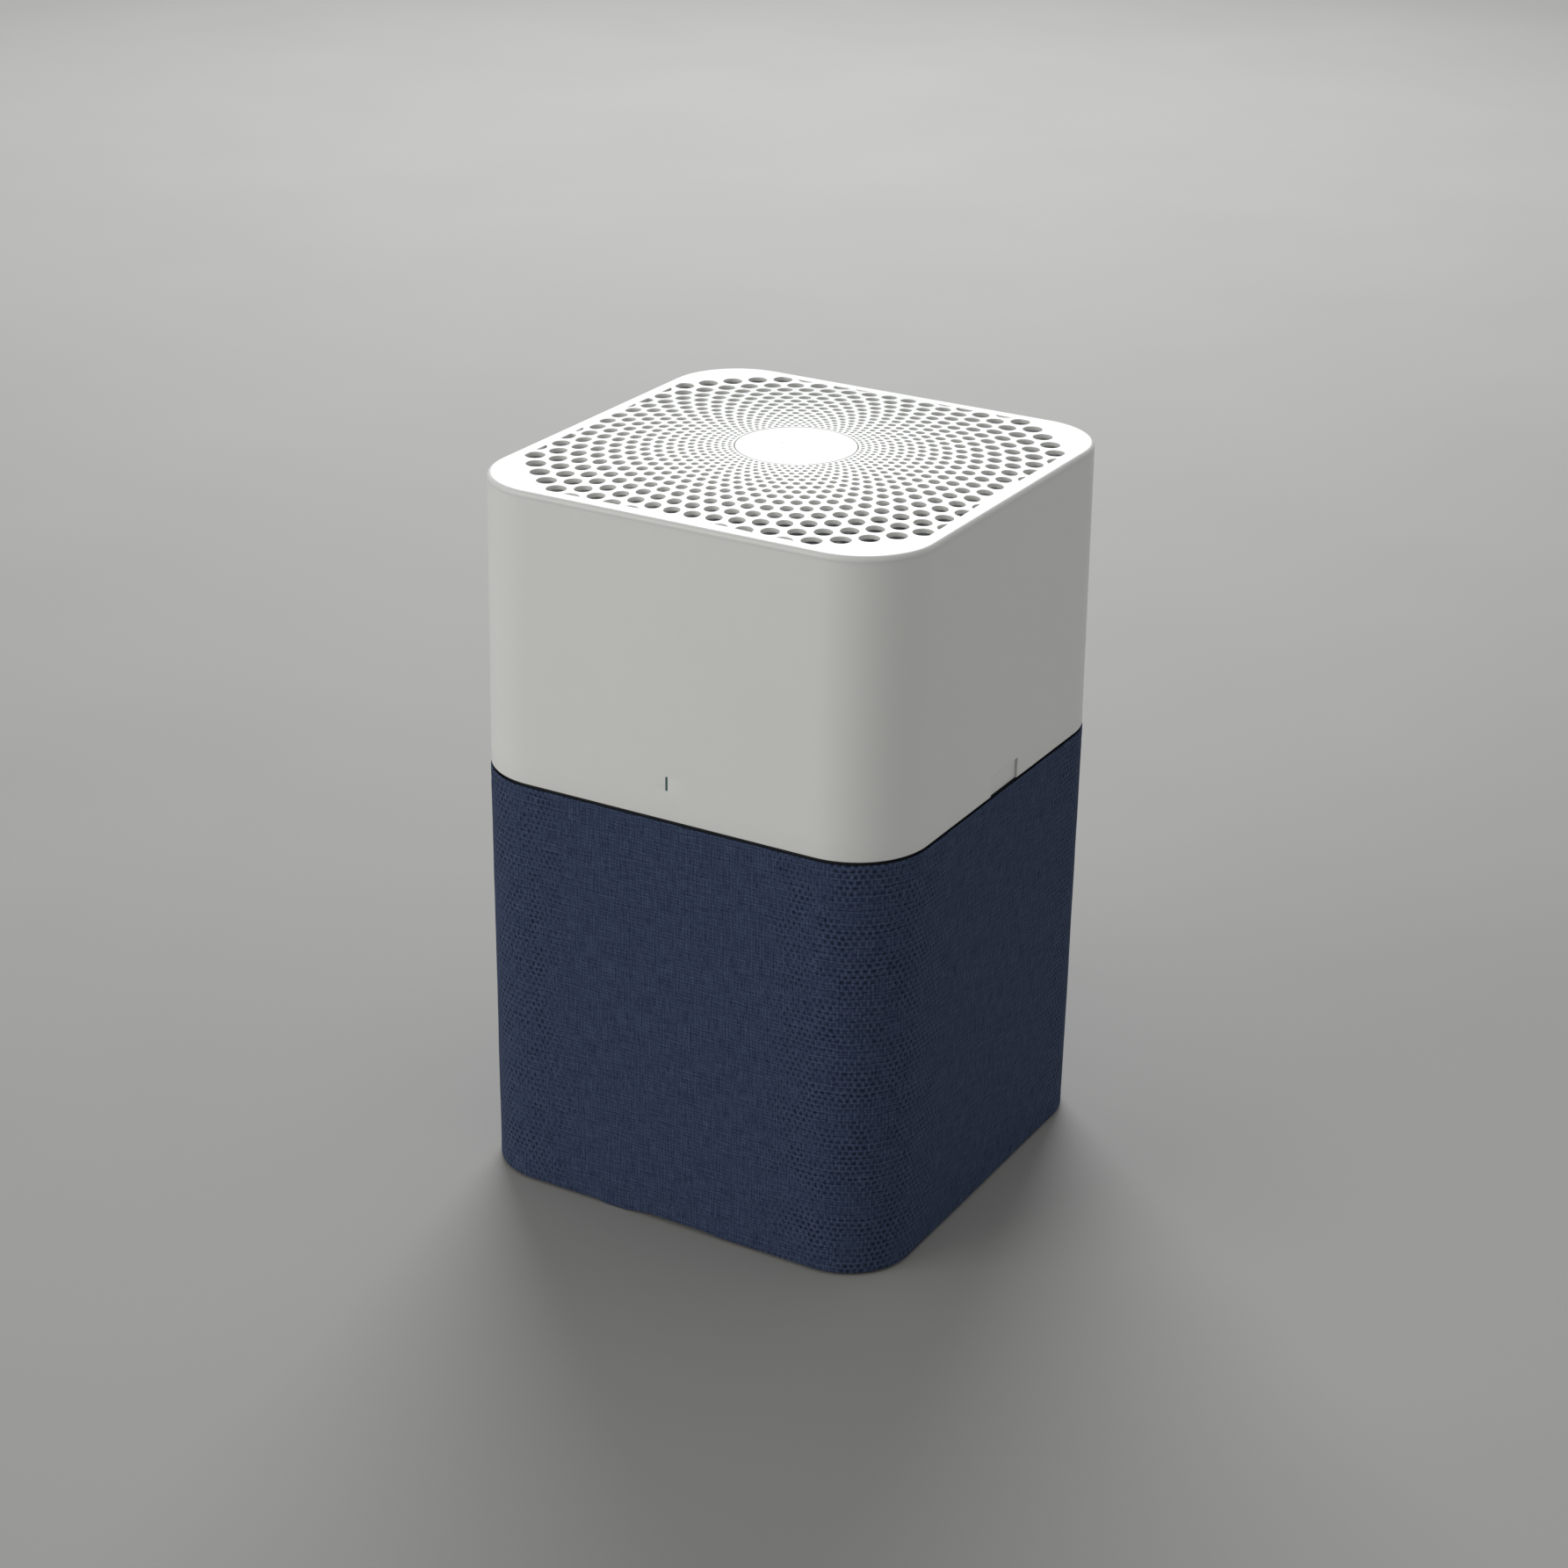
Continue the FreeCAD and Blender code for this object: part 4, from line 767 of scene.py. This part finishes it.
def make_grille():
    """Top panel with softened holes, a rolled edge, a locating rib inside and the button's collar."""
    outline = Outline(CASING_HALF, CASING_CORNER, step=6 * MM)
    skin = Skin()

    # Rolled edge, from the joint with the casing up to the flat top.
    joint_half, joint_corner = casing_size(0.0, PANEL_Z)
    rings = [skin.ring(outline.points(joint_half, joint_corner, PANEL_Z))]
    roll_steps = 8
    for i in range(roll_steps + 1):
        angle = math.pi / 2 * i / roll_steps
        inset = ROLLED_EDGE * (1 - math.cos(angle))
        z = RIM_Z - ROLLED_EDGE + ROLLED_EDGE * math.sin(angle)
        rings.append(skin.ring(outline.points(RIM_HALF - inset, RIM_CORNER - inset, z)))
    support = ROLLED_EDGE + 1.2 * MM
    outer = outline.points(RIM_HALF - support, RIM_CORNER - support, 0)
    top_outer = skin.ring([(p.x, p.y, panel_height(p.x, p.y)) for p in outer])
    rings.append(top_outer)
    for low, high in zip(rings, rings[1:]):
        skin.join(low, high)

    # Underside edge.
    inner_half = RIM_HALF - WALL
    inner_corner = RIM_CORNER - WALL
    foot = skin.ring(outline.points(inner_half, inner_corner, PANEL_Z))
    under_outer = skin.ring([(p.x, p.y, panel_height(p.x, p.y) - WALL) for p in outer])
    skin.join(foot, rings[0])
    skin.join(under_outer, foot)

    # The holes, and the button's opening in the middle, each with its wall and softened upper edge.
    middle = [(BUTTON_OPENING * math.cos(2 * math.pi * i / 120), BUTTON_OPENING * math.sin(2 * math.pi * i / 120))
              for i in range(120)]
    openings = grille_openings()
    openings.append((middle, 0.4 * MM))
    top_loops = []
    under_loops = []
    for hole, softening in openings:
        flat = []
        for growth, drop in ((0.0, WALL), (0.0, softening), (0.3 * softening, 0.3 * softening),
                             (softening, 0.0), (1.6 * softening, 0.0)):
            shape = grown(hole, growth) if growth else hole
            flat.append(skin.ring([(x, y, panel_height(x, y) - drop) for x, y in shape]))
        for low, high in zip(flat, flat[1:]):
            skin.join(high, low)
        wide = grown(hole, 1.6 * softening)
        under = skin.ring([(x, y, panel_height(x, y) - WALL) for x, y in wide])
        skin.join(flat[0], under)
        top_loops.append(flat[-1])
        under_loops.append(under)

    fill_between(skin, top_outer, top_loops, False)
    fill_between(skin, under_outer, under_loops, True)
    piece = new_piece("grille_panel", skin.points, skin.faces, MATERIALS["white_plastic"], "fan_unit")
    add_rings(piece, outline)
    piece.data.set_sharp_from_angle(angle=math.radians(20))
    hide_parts("top_grille")
    return piece


def fill_between(skin, outer, loops, flipped):
    """Triangles between the outer loop and the loops round the holes."""
    order = list(outer)
    loop_of = {}
    edges = []
    for number, loop in enumerate([outer] + loops):
        start = len(order) if number else 0
        if number:
            order += loop
        count = len(loop)
        edges += [(start + i, start + (i + 1) % count) for i in range(count)]
        for i in range(count):
            loop_of[start + i] = number
    flat = [skin.points[i].xy for i in order]
    points, found_edges, triangles, origins, edge_origins, face_origins = delaunay_2d_cdt(flat, edges, [], 0, 1e-7)
    names = [o[0] for o in origins]
    for a, b, c in triangles:
        a, b, c = names[a], names[b], names[c]
        if loop_of[a] and loop_of[a] == loop_of[b] == loop_of[c]:
            continue
        corners = (order[a], order[b], order[c])
        skin.faces.append(corners[::-1] if flipped else corners)


def add_rings(piece, outline):
    """The locating rib that runs inside the casing and the collar that guides the button."""
    rib_inset = WALL + 0.3 * MM
    rib_low = PANEL_Z - 7 * MM
    rib_high = RIM_Z - WALL + 0.2 * MM
    rings = []
    for inset, z in ((0, rib_high), (0, rib_low + 0.5 * MM), (0.5 * MM, rib_low), (1.5 * MM, rib_low),
                     (2 * MM, rib_low + 0.5 * MM), (2 * MM, rib_high)):
        rings.append(outline.points(RIM_HALF - rib_inset - inset, RIM_CORNER - rib_inset - inset, z))
    join_mesh(piece, *lofted(rings, closed=True))
    high = panel_height(BUTTON_OPENING, 0) - WALL + 0.3 * MM
    outer = BUTTON_OPENING + COLLAR_WALL
    join_mesh(piece, *turned([(outer, high), (outer, COLLAR_Z), (BUTTON_OPENING, COLLAR_Z),
                              (BUTTON_OPENING, high)], 120))


def join_mesh(piece, points, faces):
    """Adds points and faces to a piece's mesh."""
    work = bmesh.new()
    work.from_mesh(piece.data)
    made = [work.verts.new(p) for p in points]
    for face in faces:
        work.faces.new([made[i] for i in face]).smooth = True
    bmesh.ops.recalc_face_normals(work, faces=work.faces)
    work.to_mesh(piece.data)
    work.free()


# ---- Press button ----------------------------------------------------------------------------------------------

def make_button():
    """Round cap that follows the dome, with a softened edge, a skirt and two tiny light windows."""
    edge = 0.7 * MM
    rim = BUTTON_RADIUS
    top = [(r, panel_height(r, 0)) for r in [rim * i / 14 for i in range(1, 14)]]
    top = [p for p in top if p[0] < rim - 1.6 * edge]
    edge_z = panel_height(rim, 0)
    top.append((rim - 1.6 * edge, panel_height(rim - 1.6 * edge, 0)))
    top += rounded((rim - edge, edge_z - edge), edge, 90, 0, 5)
    underside = disc_low.z + 8 * MM
    skirt = [(rim, disc_low.z + 0.3 * MM), (rim - 0.3 * MM, disc_low.z), (rim - 1.7 * MM, disc_low.z),
             (rim - 2 * MM, disc_low.z + 0.3 * MM), (rim - 2 * MM, underside)]
    profile = top + skirt + [(0.2 * rim, underside)]
    points, faces = turned(profile, 144, closed=False)
    count = 144
    top_middle = len(points)
    points.append(Vector((0, 0, panel_height(0, 0))))
    low_middle = len(points)
    points.append(Vector((0, 0, underside)))
    last = (len(profile) - 1) * count
    for i in range(count):
        k = (i + 1) % count
        faces.append((top_middle, k, i))
        faces.append((low_middle, last + i, last + k))
    piece = new_piece("button_cap", points, faces, MATERIALS["white_plastic"], "control_button")
    clean_mesh(piece)
    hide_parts("control_disc")
    for name, x, radius in (("button_dot_large", -18.5 * MM, 1.3 * MM), ("button_dot_small", -11 * MM, 0.9 * MM)):
        make_dot(name, x, radius)


def make_dot(name, x, radius):
    """Tiny light window let into the cap, a hair proud of it."""
    z = panel_height(x, 0)
    points, faces = turned([(0.3 * radius, 0.04 * MM), (0.8 * radius, 0.03 * MM), (radius, -0.01 * MM),
                            (radius, -0.6 * MM), (0.3 * radius, -0.6 * MM)], 24, closed=True)
    points = [p + Vector((x, 0, z)) for p in points]
    top = len(points)
    points.append(Vector((x, 0, z + 0.04 * MM)))
    faces += [(top, i, (i + 1) % 24) for i in range(24)]
    faces = [f for f in faces if not set(f) <= set(range(24)) | set(range(96, 120))]
    low = len(points)
    points.append(Vector((x, 0, z - 0.6 * MM)))
    faces += [(low, 96 + (i + 1) % 24, 96 + i) for i in range(24)]
    piece = new_piece(name, points, faces, MATERIALS["indicator_lens"], "control_button")
    clean_mesh(piece)
    if "large" in name:
        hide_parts("indicator_dots")


# ---- Fabric sleeve --------------------------------------------------------------------------------------------

def sleeve_size(inset, z):
    share = (z - sleeve_low.z) / (sleeve_high.z - sleeve_low.z)
    return (between(SLEEVE_BOTTOM_HALF, sleeve_high.x, share) - inset,
            between(SLEEVE_BOTTOM_CORNER, SLEEVE_TOP_CORNER, share) - inset)


def hem_lift(place):
    """How far the lower hem hangs away from level along the front: a small dip and a raised stretch."""
    dip = -1.5 * MM * smooth_step(-60 * MM, -52 * MM, place) * (1 - smooth_step(-36 * MM, -28 * MM, place))
    raised = 1.3 * MM * smooth_step(-26 * MM, -16 * MM, place) * (1 - smooth_step(26 * MM, 44 * MM, place))
    return dip + raised


def make_sleeve():
    """Stretched fabric tube with turned hems, a faint unevenness and a sewn seam at the back."""
    outline = Outline(SLEEVE_BOTTOM_HALF, SLEEVE_BOTTOM_CORNER, step=2.6 * MM, corner_steps=30)
    thickness = 1.7 * MM
    low = sleeve_low.z
    high = sleeve_high.z + 1.4 * MM
    hem = 1.1 * MM
    levels = 96
    profile = []
    for i in range(6):
        angle = math.pi * i / 5
        profile.append((thickness / 2 + thickness / 2 * math.cos(angle), low + hem - hem * math.sin(angle), "low"))
    profile += [(0.0, between(low + hem, high - hem, i / levels), "outer") for i in range(1, levels)]
    for i in range(6):
        angle = math.pi * i / 5
        profile.append((thickness / 2 - thickness / 2 * math.cos(angle), high - hem + hem * math.sin(angle), "high"))
    profile += [(thickness, between(high - hem, low + hem, i / 12), "inner") for i in range(1, 12)]
    rings = [outline.points(*sleeve_size(inset, z), z) for inset, z, kind in profile]
    lengths = walked(rings[0])
    stitches = (5.5 * MM, 7.5 * MM)
    for (inset, z, kind), ring in zip(profile, rings):
        for j, point in enumerate(ring):
            side, share, angle, place = outline.stations[j]
            outward = Vector((point.x, point.y, 0)).normalized()
            if kind in ("outer", "low", "high") and inset < thickness * 0.6:
                swell = 0.22 * MM * noise.noise(Vector((lengths[j] * 14, z * 18, 0.3)))
                swell += 0.10 * MM * noise.noise(Vector((lengths[j] * 60, z * 70, 4.1)))
                from_edge = min(z - low, high - z)
                swell -= 0.18 * MM * math.exp(-((from_edge - 11 * MM) / (1.2 * MM)) ** 2)
                if side == 2 and not angle:
                    swell -= 0.45 * MM * math.exp(-(place / (0.9 * MM)) ** 2)
                point += outward * (swell - 0.05 * MM)
            if side == 0 and not angle:
                point.z += hem_lift(place) * (1 - smooth_step(0.0, 22 * MM, z - low))
    points, faces = lofted(rings, closed=True)
    piece = new_piece("fabric_sleeve", points, faces, MATERIALS["navy_fabric"], "filter_unit")
    heights = [z for inset, z, kind in profile]
    mark_cloth(piece, lengths, heights, [stretched(*station) for station in outline.stations])
    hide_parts("prefilter_sleeve")
    return piece


def walked(ring):
    """Distance from the first point to each point of a ring."""
    lengths = [0.0]
    for before, after in zip(ring, ring[1:]):
        lengths.append(lengths[-1] + (after - before).length)
    return lengths


def stretched(side, share, angle, place):
    """How far the cloth is stretched at a station: most round the corners."""
    if angle:
        return 1.0
    return smooth_step(62 * MM, 116 * MM, abs(place))


def mark_cloth(piece, lengths, heights, stretch):
    """Stores each face corner's place on the cloth and its stretch, with no jump where the tube closes."""
    count = len(lengths)
    whole = lengths[-1] + lengths[1]
    attribute = piece.data.attributes.new("cloth", "FLOAT_VECTOR", "CORNER")
    values = []
    for face in piece.data.polygons:
        columns = [v % count for v in face.vertices]
        wraps = max(columns) - min(columns) > 1
        for vertex, column in zip(face.vertices, columns):
            along = lengths[column] + (whole if wraps and column == 0 else 0.0)
            values += [along, heights[vertex // count], stretch[column]]
    attribute.data.foreach_set("vector", values)


# ---- Floor, light and camera ------------------------------------------------------------------------------------

def make_floor():
    """Plain pale floor under everything."""
    size = 60.0
    mesh = bpy.data.meshes.new("floor")
    mesh.from_pydata([(-size, -size, 0), (size, -size, 0), (size, size, 0), (-size, size, 0)], [], [(0, 1, 2, 3)])
    floor = bpy.data.objects.new("floor", mesh)
    bpy.context.scene.collection.objects.link(floor)
    n = Nodes("floor")
    n.surface(Base_Color=n.mix(n.noise(3.0), (0.345, 0.34, 0.325, 1), (0.375, 0.37, 0.355, 1)), Roughness=0.7)
    mesh.materials.append(n.material)


def area_light(name, place, target, size, power, colour):
    data = bpy.data.lights.new(name, "AREA")
    data.shape = "RECTANGLE"
    data.size, data.size_y = size
    data.energy = power
    data.color = colour
    lamp = bpy.data.objects.new(name, data)
    bpy.context.scene.collection.objects.link(lamp)
    lamp.location = place
    lamp.rotation_euler = (Vector(target) - Vector(place)).to_track_quat("-Z", "Y").to_euler()


def make_light():
    """A large window-like light above and behind, a soft fill from the left, and a pale room."""
    bpy.context.scene.view_settings.view_transform = "Standard"
    middle = (0.0, 0.0, 0.35)
    area_light("back_window", (-2.3, 4.1, 3.4), middle, (3.4, 2.4), 215.0, (0.96, 0.98, 1.0))
    area_light("left_fill", (-3.4, -4.6, 1.9), middle, (3.6, 3.0), 100.0, (1.0, 0.99, 0.97))
    world = bpy.data.worlds.new("room")
    bpy.context.scene.world = world
    world.use_nodes = True
    world.node_tree.nodes["Background"].inputs["Color"].default_value = (0.94, 0.95, 0.95, 1)
    world.node_tree.nodes["Background"].inputs["Strength"].default_value = 0.43


def make_camera():
    """Long lens from the front right, a little above the top."""
    azimuth = math.radians(29.74)
    elevation = math.radians(23.68)
    roll = math.radians(0.834)
    distance = 13.744 * RIM_HALF
    target_right = -0.0304 * RIM_HALF
    target_z = 1.6604 * RIM_HALF + sleeve_low.z
    back = Vector((math.sin(azimuth) * math.cos(elevation), -math.cos(azimuth) * math.cos(elevation),
                   math.sin(elevation)))
    level = Vector((math.cos(azimuth), math.sin(azimuth), 0))
    upright = back.cross(level)
    right = level * math.cos(roll) + upright * math.sin(roll)
    up = upright * math.cos(roll) - level * math.sin(roll)
    target = level * target_right + Vector((0, 0, target_z))
    data = bpy.data.cameras.new("camera")
    data.sensor_width = 36.0
    data.lens = 73.52
    camera = bpy.data.objects.new("camera", data)
    bpy.context.scene.collection.objects.link(camera)
    turn = Matrix((right, up, back)).transposed().to_4x4()
    camera.matrix_world = Matrix.Translation(target + back * distance) @ turn
    bpy.context.scene.camera = camera


dress_cad_nodes()
make_camera()
make_casing()
make_latch("latch_left", -1)
make_latch("latch_right", 1)
make_grille()
make_button()
make_sleeve()
make_floor()
make_light()
